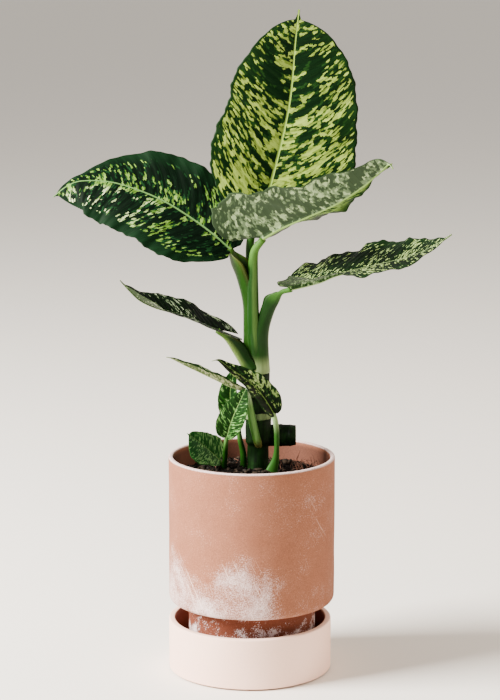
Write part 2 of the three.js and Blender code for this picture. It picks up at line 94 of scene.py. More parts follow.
# %% [markdown]
# ## Nodes
#
# A finish is a tree of nodes. Each node could be made, set and linked in lines of its own, but
# then one finish would fill pages, so one small function does all three. A list fills the node's
# sockets from the top, as the node shows them, and a dictionary fills them by name. A node or a
# socket that is given is linked, and any other value is typed in.

# %% Nodes
COLOUR = {"data_type": "RGBA"}  # makes a Mix node mix colours: share, first, second
SOFT = {"interpolation_type": "SMOOTHSTEP"}  # gives a Map Range node soft ends


def link(tree, source, socket):
    """Link a socket, or the first output in use of a node, to an input."""
    if isinstance(source, bpy.types.Node):
        source = next(output for output in source.outputs if output.enabled)
    tree.links.new(source, socket)


def add(tree, kind, inputs=(), **settings):
    """Add a node with its settings and links."""
    node = tree.nodes.new(kind)
    for name, value in settings.items():
        setattr(node, name, value)
    if isinstance(inputs, dict):
        filled = [(node.inputs[name], value) for name, value in inputs.items()]
    else:
        filled = zip([socket for socket in node.inputs if socket.enabled], inputs)
    for socket, value in filled:
        if isinstance(value, (bpy.types.Node, bpy.types.NodeSocket)):
            link(tree, value, socket)
        else:
            socket.default_value = linear(value) if isinstance(value, str) else value
    return node


print("settings that many nodes share:", COLOUR, SOFT)

# %% [markdown]
# ## Materials
#
# Every material here starts as Blender's Principled shader, which covers clay, soil and leaves
# alike. What is even over the whole surface, such as roughness, is set on the shader itself. What
# varies is linked to it at the end: a colour, and a relief. Real relief could be modelled, but
# grain finer than a millimetre would need millions of faces, so that much is left to bump.

# %% Materials
def new_finish(name, **surface_values):
    """An empty material: its tree and its Principled shader, with the even values set on it."""
    finish = bpy.data.materials.new(name)
    finish.use_nodes = True
    surface = finish.node_tree.nodes["Principled BSDF"]
    for socket, value in surface_values.items():
        surface.inputs[socket.replace("_", " ")].default_value = value
    return finish, finish.node_tree, surface


def complete(tree, surface, colour, height, strength, depth):
    """Give the shader its colour, and a relief that is as deep as the given millimetres."""
    link(tree, colour, surface.inputs["Base Color"])
    bump = add(tree, "ShaderNodeBump", {
        "Height": height, "Strength": strength, "Distance": depth * MM})
    link(tree, bump, surface.inputs["Normal"])


print("helpers of a material: new_finish and complete")

# %% [markdown]
# ## Making a piece
#
# Every piece is a mesh made from a list of points and faces. Primitives and modifiers could make
# some of them, but leaves need exact points, so all pieces are made one way. Faces are turned
# outwards and shaded smooth. A piece may carry extra numbers at each point, such as how far along a
# leaf the point is, for its finish to read. The last lines tie the piece to the body of the part
# and hide the solid that it stands for.

# %% Mesh maker
WELD = 0.002  # points closer than this many millimetres are joined
pieces_made = []


def make_piece(name, points, faces, finishes, nodes=(), places=None, face_finish=None):
    mesh = bpy.data.meshes.new(name)
    mesh.from_pydata((np.asarray(points) * MM).tolist(), [], faces)
    for finish in finishes:
        mesh.materials.append(finish)
    if face_finish is not None:
        mesh.polygons.foreach_set("material_index", face_finish)
    for attribute, values in (places or {}).items():
        layer = mesh.attributes.new(attribute, "FLOAT_VECTOR", "POINT")
        layer.data.foreach_set("vector", np.asarray(values, np.float32).ravel())
    shell = bmesh.new()
    shell.from_mesh(mesh)
    bmesh.ops.remove_doubles(shell, verts=shell.verts, dist=WELD * MM)
    bmesh.ops.recalc_face_normals(shell, faces=shell.faces)
    for face in shell.faces:
        face.smooth = True
    shell.to_mesh(mesh)
    shell.free()
    piece = bpy.data.objects.new(name, mesh)
    bpy.context.scene.collection.objects.link(piece)
    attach(piece, "root")
    if nodes:
        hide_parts(*nodes)
    pieces_made.append(piece)
    print(name, len(mesh.polygons), "faces")


# %% [markdown]
# ## Floor
#
# The plant stands on a plain pale floor, so that its shadow shows where it stands. It could be a
# curved backdrop, but a flat sheet that reaches far past the picture looks the same and is only
# one face. It is matte card: uncoated paper, which gives the eye no gloss, and its tone drifts a
# little over large clouds.

# %% Floor
FLOOR_REACH = 60  # metres to each side
floor_finish, floor_tree, floor_surface = new_finish("matte_white_card", Roughness=0.85)
floor_clouds = add(floor_tree, "ShaderNodeTexNoise", {"Scale": 3.0, "Detail": 2.0})
floor_colour = add(floor_tree, "ShaderNodeMix", [floor_clouds, "#e9e5dd", "#edeae3"], **COLOUR)
link(floor_tree, floor_colour, floor_surface.inputs["Base Color"])
floor_corners = [(FLOOR_REACH * x, FLOOR_REACH * y, 0)
                 for x, y in ((-1, -1), (1, -1), (1, 1), (-1, 1))]
floor_mesh = bpy.data.meshes.new("floor")
floor_mesh.from_pydata(floor_corners, [], [(0, 1, 2, 3)])
floor_mesh.materials.append(floor_finish)
floor = bpy.data.objects.new("floor", floor_mesh)
bpy.context.scene.collection.objects.link(floor)
print("floor:", 2 * FLOOR_REACH, "m wide")

# %% [markdown]
# ## Light
#
# The light comes from a large soft window to the left and a little in front, which leaves the
# right side of the pot about half as bright as the left. A sun lamp would give hard shadows, so
# the window is a large square lamp. A weaker, warmer one at the right stands for light that
# comes back from the room, and a pale sky all round fills the shadows.

# %% Lights
PLANT_MIDDLE = Vector((0, 0, 0.3))
sky = bpy.data.worlds.new("pale_room")
sky.use_nodes = True
sky.node_tree.nodes["Background"].inputs["Color"].default_value = linear("#fdf6ee")
sky.node_tree.nodes["Background"].inputs["Strength"].default_value = 0.75
bpy.context.scene.world = sky


def soft_light(name, place, width, power, colour):
    """A square lamp that looks at the middle of the plant."""
    lamp = bpy.data.lights.new(name, "AREA")
    lamp.shape = "SQUARE"
    lamp.size = width
    lamp.energy = power
    lamp.color = linear(colour)[:3]
    holder = bpy.data.objects.new(name, lamp)
    holder.location = place
    towards = PLANT_MIDDLE - Vector(place)
    holder.rotation_euler = towards.to_track_quat("-Z", "Y").to_euler()
    bpy.context.scene.collection.objects.link(holder)


soft_light("window", (-1.95, -0.6, 1.5), 1.1, 384, "#fffaf3")
soft_light("reflector", (1.9, 0.3, 1.0), 1.3, 34, "#ffe4cc")
print("lights: window, reflector and sky")

# %% [markdown]
# ## Rounded outlines
#
# Pot and saucer are pressed in a spinning mould, so each is an outline turned round an axis. A
# fired edge is never sharp. A bevel modifier could round it, but the worn rim has to bend with
# its points, so the rounding goes into the outline: each corner is a radius, a height and a
# rounding, and becomes a short curve. Long walls are split as well, so that the slight wander of
# hand-finished clay can be pushed into them.

# %% Rounded outlines
def rounded(corners, steps=7, longest=4.0):
    """A closed outline of [radius, height, rounding] corners, with curved corners."""
    count = len(corners)
    outline = []
    for i, (radius, height, rounding) in enumerate(corners):
        here = np.array([radius, height], float)
        before = np.array(corners[i - 1][:2], float)
        after = np.array(corners[(i + 1) % count][:2], float)
        start = here + (before - here) / np.linalg.norm(before - here) * rounding
        end = here + (after - here) / np.linalg.norm(after - here) * rounding
        if rounding == 0:
            curve = [here]
        else:
            curve = [(1 - k) ** 2 * start + 2 * k * (1 - k) * here + k * k * end
                     for k in np.linspace(0, 1, steps)]
        if outline:
            gap = np.linalg.norm(curve[0] - outline[-1])
            extra = int(gap // longest)
            last = outline[-1]
            outline += [last + (curve[0] - last) * k / (extra + 1) for k in range(1, extra + 1)]
        outline += curve
    return np.array(outline)


test_outline = rounded([[0, 0, 0], [10, 0, 2], [10, 5, 2], [0, 5, 0]])
print("a rounded outline of four corners has", len(test_outline), "points")

# %% [markdown]
# ## Turning
#
# On the wheel, every point of the outline draws a ring. The screw modifier does the same, but
# here the points are needed as numbers, so the rings are worked out and joined by faces. A
# closed outline makes a wall with an inside, and an open one starts and ends on the axis.

# %% Turning
def turned(outline, sides, close=True):
    """Points and faces of an outline of [radius, height] turned round the Z axis."""
    angles = np.arange(sides) / sides * 2 * math.pi
    rings = len(outline)
    points = np.zeros((rings, sides, 3))
    points[:, :, 0] = outline[:, 0:1] * np.cos(angles)
    points[:, :, 1] = outline[:, 0:1] * np.sin(angles)
    points[:, :, 2] = outline[:, 1:2]
    faces = []
    for i in range(rings if close else rings - 1):
        k = (i + 1) % rings
        for j in range(sides):
            m = (j + 1) % sides
            faces.append((i * sides + j, i * sides + m, k * sides + m, k * sides + j))
    return points.reshape(-1, 3), faces


print("turned in 12 steps:", len(turned(test_outline, 12)[0]), "points")

# %% [markdown]
# ## Patterns
#
# Clay, soil and leaves are all mottled, but with blobs of different sizes. A picture of each
# would look flat and repeat itself, so the patterns are made of noise, whose blobs are given
# their real size in millimetres. Two more helpers do what every finish needs: one adds up
# patterns by weight, and one lays coats of colour over a first colour, each where it is due.

# %% Pattern helpers
def stretched_noise(tree, vector, size, detail, roughness, turn=(0, 0, 0)):
    """Noise whose blobs have the given size in millimetres along x, y and z, once turned."""
    placed = add(tree, "ShaderNodeMapping", {
        "Vector": vector, "Scale": [millimetres * MM for millimetres in size],
        "Rotation": turn}, vector_type="TEXTURE")
    return add(tree, "ShaderNodeTexNoise", {
        "Vector": placed, "Scale": 1.0, "Detail": detail, "Roughness": roughness})


def weighted(tree, terms, start=0.0):
    """The sum of pattern times weight over all terms, plus the start value."""
    total = start
    for pattern, weight in terms:
        total = add(tree, "ShaderNodeMath", [pattern, weight, total], operation="MULTIPLY_ADD")
    return total


def coated(tree, colour, coats):
    """Lay coats over a colour, one after the other. Each is a share and a colour."""
    for share, coat in coats:
        colour = add(tree, "ShaderNodeMix", [share, colour, coat], **COLOUR)
    return colour


print("pattern helpers: stretched_noise, weighted and coated")

# %% [markdown]
# ## Terracotta
#
# Unglazed earthenware, pressed in a mould and fired at a low heat. It is matte and porous, so it
# has hardly any gloss and a sandy skin: grains of 0.3 to 0.6 mm, which are drawn about 1 mm wide
# here, because a finer grain would be lost. Water that seeps through the wall leaves lime on the
# outside, and that bloom gives the eye most of the surface. It gathers round a few damp places,
# mostly low on the wall. They could be painted on the mesh by hand, but a place given by its
# middle and its reach is quick to move, and needs no flat map of the pot. The noises that break
# up the bloom have the sizes of what is seen in the clay.

# %% Damp places
# The middle and reach of each damp place in millimetres, and how strong its bloom is.
DAMP_PLACES = [((-70, -28, 84), 50, 1.1), ((-42, -62, 66), 42, 1), ((-8, -75, 86), 48, 1),
               ((62, -44, 154), 46, 0.36), ((34, 66, 84), 44, 1), ((-52, 54, 76), 30, 1)]
# Width, depth and height of the blobs in millimetres, their detail, roughness and turn.
CLAY_NOISES = {
    "cloud": ((26, 26, 26), 5.0, 0.6),
    "streak": ((7, 7, 80), 4.0, 0.6),
    "grain": ((1.0, 1.0, 1.0), 2.0, 0.7),
    "patch": ((11, 11, 9), 3.0, 0.5),
    "scratch": ((1.0, 90, 46), 1.0, 0.5, (0, -0.42, 0)),
}


def damp_share(tree, place):
    """How damp the wall is: the strength of a damp place in its middle, and 0 far away."""
    damp = 0.0
    for middle, reach, strength in DAMP_PLACES:
        away = add(tree, "ShaderNodeVectorMath", [place, [v * MM for v in middle]],
                   operation="DISTANCE")
        here = add(tree, "ShaderNodeMapRange", [
            away, reach * MM, 0.2 * reach * MM, 0, strength], **SOFT)
        damp = add(tree, "ShaderNodeMath", [here, damp], operation="MAXIMUM")
    return damp


print("damp places:", len(DAMP_PLACES), "and noises:", ", ".join(CLAY_NOISES))

# %% [markdown]
# ## Lime bloom
#
# Lime dries to a sandy white veil round the damp places, to milky streaks that run down, and to
# hard white patches on the foot, while the rim is pale because it is worn. One noise over the
# clay would look like a cloud, so the veil adds up four patterns, and the sand grain then cuts
# it into specks.

# %% Lime bloom
# Heights in millimetres between which the low veil, the foot's bloom and the worn rim come in.
LOW_VEIL, FOOT_EDGE, RIM_EDGE = (92, 64), (64.4, 63.4), (196.2, 197.6)


def lime_bloom(tree, noises, damp, outside, height, on_foot):
    """Share of lime: a sandy veil on the body, hard patches on the foot, and a worn rim."""
    grain = noises["grain"]
    low = add(tree, "ShaderNodeMapRange", [height, *LOW_VEIL], **SOFT)
    veil = weighted(tree, [(damp, 0.55), (low, 0.22), (noises["cloud"], 1.4),
                           (noises["streak"], 0.2)], -0.9)
    sandy = weighted(tree, [(grain, 1.6), (veil, 1.0)], -0.85)
    body_bloom = add(tree, "ShaderNodeMapRange", [sandy, 0.04, 0.95, 0, 0.8], **SOFT)
    low_foot = weighted(tree, [(height, -0.012), (noises["patch"], 1.0), (grain, 0.8)], 0.22)
    foot_bloom = add(tree, "ShaderNodeMapRange", [low_foot, 0.55, 0.72, 0, 0.72], **SOFT)
    bloom = add(tree, "ShaderNodeMix", [on_foot, body_bloom, foot_bloom])
    bloom = add(tree, "ShaderNodeMath", [bloom, outside], operation="MULTIPLY")
    top = add(tree, "ShaderNodeMapRange", [height, *RIM_EDGE], **SOFT)
    rubbed = add(tree, "ShaderNodeMapRange", [grain, 0.3, 0.6, 0.25, 0.75], **SOFT)
    rim = add(tree, "ShaderNodeMath", [top, rubbed], operation="MULTIPLY")
    return add(tree, "ShaderNodeMath", [bloom, rim], operation="MAXIMUM")


print("the low veil comes in between", LOW_VEIL, "mm above the floor")

# %% [markdown]
# ## Bare clay
#
# Under the bloom the clay is a dull orange brown, mottled by the fire. The foot is darker, because
# the shade under the overhanging body is painted into its colour. The inside below the rim is
# darker too, because painted shade stands for the shade inside the pot. The clay has fine pale
# scratches where it is damp. One colour with a bloom over it would do from afar, but the drift
# between two browns and a fine sand keep the wall from looking like plastic.

# %% Terracotta finish
def bare_clay(tree, noises, damp, outside, height, on_foot):
    clay = add(tree, "ShaderNodeMix", [noises["cloud"], "#7b4a34", "#93614a"], **COLOUR)
    fine = add(tree, "ShaderNodeMapRange", [noises["scratch"], 0.66, 0.7, 0, 0.7], **SOFT)
    damp_enough = add(tree, "ShaderNodeMapRange", [damp, 0.1, 0.7], **SOFT)
    scratched = add(tree, "ShaderNodeMath", [fine, damp_enough], operation="MULTIPLY")
    # painted shade: the foot, under the overhanging body, is darkened
    foot_shade = add(tree, "ShaderNodeMath", [on_foot, 0.9], operation="MULTIPLY")
    # painted shade: the inside of the pot below the rim is darkened, as shade falls there
    inside = add(tree, "ShaderNodeMapRange", [outside, 0.9, 0.1], **SOFT)
    below_rim = add(tree, "ShaderNodeMapRange", [height, 198, 192], **SOFT)
    inside_shade = add(tree, "ShaderNodeMath", [inside, below_rim], operation="MULTIPLY")
    clay = coated(tree, clay, [(scratched, "#d9b39f"), (foot_shade, "#632f1d"),
                               (inside_shade, "#5a3628")])
    sand = add(tree, "ShaderNodeMapRange", [noises["grain"], 0.3, 0.7, 0.76, 1.24])
    return add(tree, "ShaderNodeMix", [1.0, clay, sand], blend_type="MULTIPLY", **COLOUR)


def terracotta():
    finish, tree, surface = new_finish("terracotta_unglazed", Roughness=0.88, IOR=1.5,
                                       Specular_IOR_Level=0.25)
    place = add(tree, "ShaderNodeTexCoord").outputs["Object"]
    ware = add(tree, "ShaderNodeAttribute", attribute_name="ware_place").outputs["Vector"]
    outside, height, _ = add(tree, "ShaderNodeSeparateXYZ", [ware]).outputs
    noises = {name: stretched_noise(tree, place, *numbers)
              for name, numbers in CLAY_NOISES.items()}
    damp = damp_share(tree, place)
    on_foot = add(tree, "ShaderNodeMapRange", [height, *FOOT_EDGE], **SOFT)
    bloom = lime_bloom(tree, noises, damp, outside, height, on_foot)
    clay = bare_clay(tree, noises, damp, outside, height, on_foot)
    colour = add(tree, "ShaderNodeMix", [bloom, clay, "#e3d1d0"], **COLOUR)
    complete(tree, surface, colour, noises["grain"], 0.35, 0.25)
    return finish


pot_clay = terracotta()
print("terracotta:", pot_clay.name, "with", len(pot_clay.node_tree.nodes), "nodes")

# %% [markdown]
# ## Hand-finished clay
#
# No wall that was smoothed with a wet hand is quite round. A displace modifier could push it
# about, but it works along the normals, so the wall would become thick and thin. Here a slow
# noise pushes each point straight in or out from the axis, and both sides of the wall move
# nearly together. The points also note where they are on the ware, because the finish has to
# tell the outside from the inside.

# %% Hand-finished clay
def wander(points, depth, reach, seed):
    """Push points in or out by a slow noise, as clay that a hand has smoothed."""
    moved = points.copy()
    for k, point in enumerate(points):
        push = depth * noise.noise(Vector(point) / reach + Vector((seed, seed, seed)))
        flat = math.hypot(point[0], point[1])
        if flat > 1:
            moved[k, :2] += point[:2] / flat * push
    return moved


def ware_place(points, inner_radius):
    """How far outside a point is (1 on the outer skin, 0 inside), with its height."""
    flat = np.hypot(points[:, 0], points[:, 1])
    outside = np.clip((flat - inner_radius) / 1.5, 0, 1)
    return np.stack([outside, points[:, 2], flat], axis=1)


print("wander of a point:", wander(np.array([[75.0, 0, 100]]), 0.35, 30, 4.1).round(2).tolist())

# %% [markdown]
# ## Pot
#
# A straight cylinder 150 mm across and 4 mm thick. Its wide body ends in a rounded step above a
# narrower foot, so that it can drop into its saucer. It could be cut from a cylinder, but one
# closed outline holds the outside, the inside and the drain hole at once. The rim is worn down a
# little where other pots and hands have rubbed it.

# %% Pot
POT_SIDES = 168
POT_RADIUS, POT_INSIDE, FOOT_RADIUS, FOOT_INSIDE, DRAIN = 75, 71, 57.5, 51.5, 8
FOOT_BOTTOM, POT_FLOOR, POT_STEP, SHELF, POT_TOP = 5.3, 12.3, 64.5, 71.5, 198
RIM_WEAR = 0.5  # deepest wear
pot_outline = rounded([
    [DRAIN, FOOT_BOTTOM, 0.8], [FOOT_RADIUS, FOOT_BOTTOM, 1.8], [FOOT_RADIUS, POT_STEP, 1.2],
    [POT_RADIUS, POT_STEP, 6], [POT_RADIUS, POT_TOP, 1.7], [POT_INSIDE, POT_TOP, 1.5],
    [POT_INSIDE, SHELF, 3], [FOOT_INSIDE, SHELF, 2], [FOOT_INSIDE, POT_FLOOR, 3],
    [DRAIN, POT_FLOOR, 0.8],
])
pot_points, pot_faces = turned(pot_outline, POT_SIDES)
pot_place = ware_place(pot_points, POT_INSIDE + 0.2)
foot_skin = (pot_place[:, 1] < POT_STEP + 0.1) & (pot_place[:, 2] > FOOT_RADIUS - 1.5)
pot_place[foot_skin, 0] = 1  # the foot is outside too
pot_points = wander(pot_points, 0.35, 30, 4.1)
for k in np.nonzero(pot_points[:, 2] > POT_TOP - 0.8)[0]:
    pot_points[k, 2] -= RIM_WEAR * max(0.0, noise.noise(Vector(pot_points[k]) / 6))
make_piece("pot_skin", pot_points, pot_faces, [pot_clay], ["pot"],
           {"ware_place": pot_place})

# %% [markdown]
# ## Slipped clay
#
# The saucer is the same earthenware, with a slip outside: thin, pale clay that was brushed on
# before firing. It gives the eye a smoother, faintly satin skin in one even peach tone. Inside, the
# clay is bare and much darker. Part of that darkness is run-off water that stands there, and part
# is the shade in the narrow gap under the pot, painted into its colour. Two materials could part
# the sides, but one that fades from the slip to the bare clay keeps the brushed edge soft. The
# clay's grain is too fine for the render, and is drawn 1.1 mm wide so that it shows.

# %% Slip finish
def slipped_clay():
    finish, tree, surface = new_finish("terracotta_with_pale_slip", Roughness=0.7, IOR=1.5,
                                       Specular_IOR_Level=0.35)
    place = add(tree, "ShaderNodeTexCoord").outputs["Object"]
    ware = add(tree, "ShaderNodeAttribute", attribute_name="ware_place").outputs["Vector"]
    outside = add(tree, "ShaderNodeSeparateXYZ", [ware]).outputs["X"]
    cloud = add(tree, "ShaderNodeTexNoise", {
        "Vector": place, "Scale": 1 / (45 * MM), "Detail": 5.0, "Roughness": 0.55})
    grain = add(tree, "ShaderNodeTexNoise", {
        "Vector": place, "Scale": 1 / (1.1 * MM), "Detail": 2.0, "Roughness": 0.6})
    slip = add(tree, "ShaderNodeMix", [cloud, "#f5cab4", "#fad6c3"], **COLOUR)
    speck = add(tree, "ShaderNodeMapRange", [grain, 0.3, 0.7, 0.97, 1.02])
    slip = add(tree, "ShaderNodeMix", [1.0, slip, speck], blend_type="MULTIPLY", **COLOUR)
    # bare clay inside: partly its own wet, darker colour, partly painted shade of the gap under the
    # pot
    bare = add(tree, "ShaderNodeMix", [cloud, "#5a210a", "#84391d"], **COLOUR)
    colour = add(tree, "ShaderNodeMix", [outside, bare, slip], **COLOUR)
    complete(tree, surface, colour, grain, 0.12, 0.15)
    return finish


saucer_clay = slipped_clay()
print("slip:", saucer_clay.name)

# %% [markdown]
# ## Saucer
#
# A shallow dish 148 mm across and 47.5 mm high, so the pot's foot stands deep in it and the
# pot's step just clears its rim. It could be the pot's outline made lower, but its wall is
# thicker and its floor is whole, so it has an outline of its own, turned in the same way. Where
# it stands there is a thin dark line all round, so the last 5 mm of the underside are 1.5 mm
# off the floor. The dish sits a little to the left of the pot's axis, as in the photograph.

# %% Saucer
SAUCER_RADIUS, SAUCER_INSIDE = 73.8, 68
SAUCER_TOP, SAUCER_FLOOR, RECESS = 47.5, 5, 1.5
SAUCER_SHIFT = -1.6  # along x
saucer_outline = rounded([
    [0, 0, 0], [SAUCER_INSIDE, 0, 0.5], [SAUCER_INSIDE + 0.4, RECESS, 0.3],
    [SAUCER_RADIUS, RECESS, 1.3], [SAUCER_RADIUS, SAUCER_TOP, 1.6],
    [SAUCER_INSIDE, SAUCER_TOP, 1.6], [SAUCER_INSIDE, SAUCER_FLOOR, 3], [0, SAUCER_FLOOR, 0],
])
saucer_points, saucer_faces = turned(saucer_outline, POT_SIDES, close=False)
saucer_place = ware_place(saucer_points, SAUCER_INSIDE - 0.1)
below_rim = saucer_points[:, 2] < SAUCER_TOP - 3.5
saucer_place[below_rim, 0] *= saucer_place[below_rim, 2] > SAUCER_INSIDE + 2  # no slip inside
saucer_points = wander(saucer_points, 0.25, 40, 7.7)
saucer_points[:, 0] += SAUCER_SHIFT
make_piece("saucer_skin", saucer_points, saucer_faces, [saucer_clay],
           ["saucer"], {"ware_place": saucer_place})

# %% [markdown]
# ## Damp peat
#
# Potting soil is a loose mix of dark peat and shredded bark, kept damp. Water fills its pores, so
# it is nearly black and gives the eye hardly any gloss, only crumbs that catch a little light. A
# flat brown would look like paint, so two noises are multiplied: crumbs of about 2 mm, and
# patches of 14 mm that dry sooner.

# %% Peat finish
def soil_finish():
    finish, tree, surface = new_finish("damp_peat_and_bark", Roughness=0.95, IOR=1.45,
                                       Specular_IOR_Level=0.1)
    place = add(tree, "ShaderNodeTexCoord").outputs["Object"]
    crumbs = add(tree, "ShaderNodeTexNoise", {
        "Vector": place, "Scale": 1 / (2.2 * MM), "Detail": 6.0, "Roughness": 0.75})
    patches = add(tree, "ShaderNodeTexNoise", {
        "Vector": place, "Scale": 1 / (14 * MM), "Detail": 3.0})
    tone = add(tree, "ShaderNodeMapRange", [crumbs, 0.42, 0.72])
    tone = add(tree, "ShaderNodeMath", [tone, patches], operation="MULTIPLY")
    colour = add(tree, "ShaderNodeMix", [tone, "#040201", "#1c130c"], **COLOUR)
    complete(tree, surface, colour, crumbs, 0.8, 0.8)
    return finish


peat = soil_finish()
print("peat:", peat.name)

# %% [markdown]
# ## Potting soil
#
# The soil fills the pot to about 16 mm below its rim, and crowns a little towards the cane. The
# surface could be sculpted, but no one would know one heap from another, so it is one turned body
# whose top is pushed up and down by two sizes of noise. A function gives its height at any place,
# because chips, crumbs and fibres have to lie on it.

# %% Soil surface
SOIL_RADIUS = 70.7
SOIL_EDGE, SOIL_CROWN, SOIL_LUMP = 178, 183.5, 1.8
SOIL_RINGS, SOIL_SIDES = 72, 160
SOIL_BOTTOM, SOIL_SHELF, SOIL_FOOT = 12.6, 71.8, 51.2  # just inside the pot's walls


def soil_height(x, y):
    share = min(math.hypot(x, y) / SOIL_RADIUS, 1)
    slow = math.sin(x * 0.31 + 1.3) * math.cos(y * 0.27) + 0.6 * math.sin(x * 0.17 - y * 0.43)
    coarse = noise.noise(Vector((x / 7, y / 7, 3.3)))
    fine = noise.noise(Vector((x / 2.4, y / 2.4, 8)))
    rough = 2.0 * coarse + 0.9 * fine
    lumps = (SOIL_LUMP * 0.7 * slow + rough) * min(1, (1 - share) / 0.04)
    return SOIL_EDGE + (SOIL_CROWN - SOIL_EDGE) * (1 - share * share) + lumps


soil_outline = np.array(
    [[0, SOIL_BOTTOM], [SOIL_FOOT, SOIL_BOTTOM], [SOIL_FOOT, SOIL_SHELF],
     [SOIL_RADIUS, SOIL_SHELF]]
    + [[SOIL_RADIUS * (1 - i / SOIL_RINGS), SOIL_EDGE] for i in range(SOIL_RINGS + 1)])
soil_points, soil_faces = turned(soil_outline, SOIL_SIDES, close=False)
for k in np.nonzero(soil_points[:, 2] > SOIL_EDGE - 1)[0]:
    soil_points[k, 2] = soil_height(soil_points[k, 0], soil_points[k, 1])
make_piece("soil_skin", soil_points, soil_faces, [peat], ["soil"])

# %% [markdown]
# ## Pine bark
#
# The bark is torn in a shredder, so a chip is a flat, fibrous splinter, greyer and lighter than
# the peat round it. It gives the eye small satin flats among the matte crumbs. Every chip could
# have a colour of its own, but one noise with blobs of 6 mm over all of them gives most chips a
# tone that differs from the next. Its fibres are about 0.2 mm wide, and are drawn 1 mm wide so
# that they show.

# %% Bark finish
def bark_finish():
    finish, tree, surface = new_finish("shredded_pine_bark", Roughness=0.9, IOR=1.45,
                                       Specular_IOR_Level=0.25)
    place = add(tree, "ShaderNodeTexCoord").outputs["Object"]
    tint = add(tree, "ShaderNodeTexNoise", {
        "Vector": place, "Scale": 1 / (6 * MM), "Detail": 3.0, "Roughness": 0.6})
    fibre = add(tree, "ShaderNodeTexNoise", {
        "Vector": place, "Scale": 1 / (1.0 * MM), "Detail": 3.0, "Roughness": 0.7})
    share = add(tree, "ShaderNodeMapRange", [tint, 0.38, 0.66])
    colour = add(tree, "ShaderNodeMix", [share, "#060402", "#302417"], **COLOUR)
    complete(tree, surface, colour, fibre, 0.6, 0.4)
    return finish


bark = bark_finish()
print("bark:", bark.name)

# %% [markdown]
# ## Broken blocks
#
# Chips and crumbs differ in size more than in form. Each could be cut from a block by planes, but
# two thousand are needed, so all start from one: a small rounded block of 26 points, closed by
# its convex hull.

# %% Broken blocks
BLOCK_ROUNDING = 0.55  # 0 leaves a cube, 1 makes a ball
block = [(x, y, z) for x in (-1, 0, 1) for y in (-1, 0, 1) for z in (-1, 0, 1)]
block = np.array([p for p in block if p != (0, 0, 0)], float)
block /= np.linalg.norm(block, axis=1)[:, None] ** BLOCK_ROUNDING
block_mesh = bmesh.new()
for corner in block:
    block_mesh.verts.new(corner)
bmesh.ops.convex_hull(block_mesh, input=block_mesh.verts)
block_mesh.verts.index_update()
block_faces = [tuple(v.index for v in face.verts) for face in block_mesh.faces]
block_mesh.free()
print("a block has", len(block), "points and", len(block_faces), "faces")

# %% [markdown]
# ## Scattering
#
# Chips fall as they like: at any angle, a few large ones among many small ones. A particle system
# scatters quickly, but the pieces have to be real meshes here. So for every chip the block's
# corners are pushed about at random, and it is then flattened, turned, tipped and laid on the
# soil. All the draws come from one seeded source, so the bed is the same on every run.

# %% Scattering
draw = np.random.default_rng(41)


def scatter(count, smallest, largest, flatness, keep_inside):
    """Points and faces of many small broken blocks that lie on the soil."""
    points, faces = [], []
    for _ in range(count):
        size = smallest + (largest - smallest) * draw.random() ** 2.2
        reach = (keep_inside - size) * math.sqrt(draw.random())
        angle = draw.random() * 2 * math.pi
        x, y = reach * math.cos(angle), reach * math.sin(angle)
        chip = block * (1 + 0.35 * (draw.random(block.shape) - 0.5))
        chip *= np.array([size, size * draw.uniform(0.3, 0.75), size * flatness]) / 2
        turn, tip, roll = draw.uniform(0, 6.28), draw.normal(0, 0.35), draw.normal(0, 0.35)
        spin = np.array([[math.cos(turn), -math.sin(turn), 0],
                         [math.sin(turn), math.cos(turn), 0], [0, 0, 1]])
        lean = np.array([[math.cos(tip), 0, math.sin(tip)], [0, 1, 0],
                         [-math.sin(tip), 0, math.cos(tip)]])
        rock = np.array([[1, 0, 0], [0, math.cos(roll), -math.sin(roll)],
                         [0, math.sin(roll), math.cos(roll)]])
        chip = chip @ (spin @ lean @ rock).T + [x, y, soil_height(x, y) + size * flatness * 0.3]
        faces += [tuple(i + len(points) * len(block) for i in face) for face in block_faces]
        points.append(chip)
    return np.concatenate(points), faces


print("the height of the soil in the middle is", round(soil_height(0, 0), 1), "mm")

# %% [markdown]
# ## Chips and crumbs
#
# On the real soil each chip throws a shadow of its own, which bump in a material can't give, so
# they are meshes. There are 520 chips from 2 to 9.5 mm long, of which most are small, and 1,500
# crumbs of peat. Each kind is one piece, since thousands of objects would only slow the scene.

# %% Chips and crumbs
chip_points, chip_faces = scatter(520, 2.2, 9.5, 0.28, 69.5)
make_piece("bark_chips", chip_points, chip_faces, [bark])
crumb_points, crumb_faces = scatter(1500, 0.8, 2.4, 0.75, 70)
make_piece("soil_crumbs", crumb_points, crumb_faces, [peat])

# %% [markdown]
# ## Curves
#
# Stems and midribs follow smooth curves, and a leaf's width changes as smoothly along it.
# Blender's curve objects could hold them, but they need handles for every point. The cubic curve
# used here just passes through every point it is given, which makes it easy to fit, and it serves
# for single numbers as well as for points.

# %% Curves
def between(values, a):
    """Smooth curve through evenly spaced numbers, read at every a from 0 to 1."""
    values = np.asarray(values, float)
    a = np.asarray(a, float)
    if len(values) == 1:
        return np.full(a.shape, values[0])
    last = len(values) - 1
    place = np.clip(a, 0, 1) * last
    i = np.minimum(np.floor(place).astype(int), last - 1)
    t = place - i
    padded = np.concatenate([[2 * values[0] - values[1]], values, [2 * values[-1] - values[-2]]])
    p0, p1, p2, p3 = padded[i], padded[i + 1], padded[i + 2], padded[i + 3]
    cubic = 3 * p1 - p0 - 3 * p2 + p3
    square = 2 * p0 - 5 * p1 + 4 * p2 - p3
    return p1 + 0.5 * ((p2 - p0) * t + square * t * t + cubic * t ** 3)


def between_points(points, a):
    return np.stack([between([p[k] for p in points], a) for k in range(3)], axis=-1)


print("a curve through 0, 10 and 0, at a quarter:", between([0, 10, 0], 0.25))

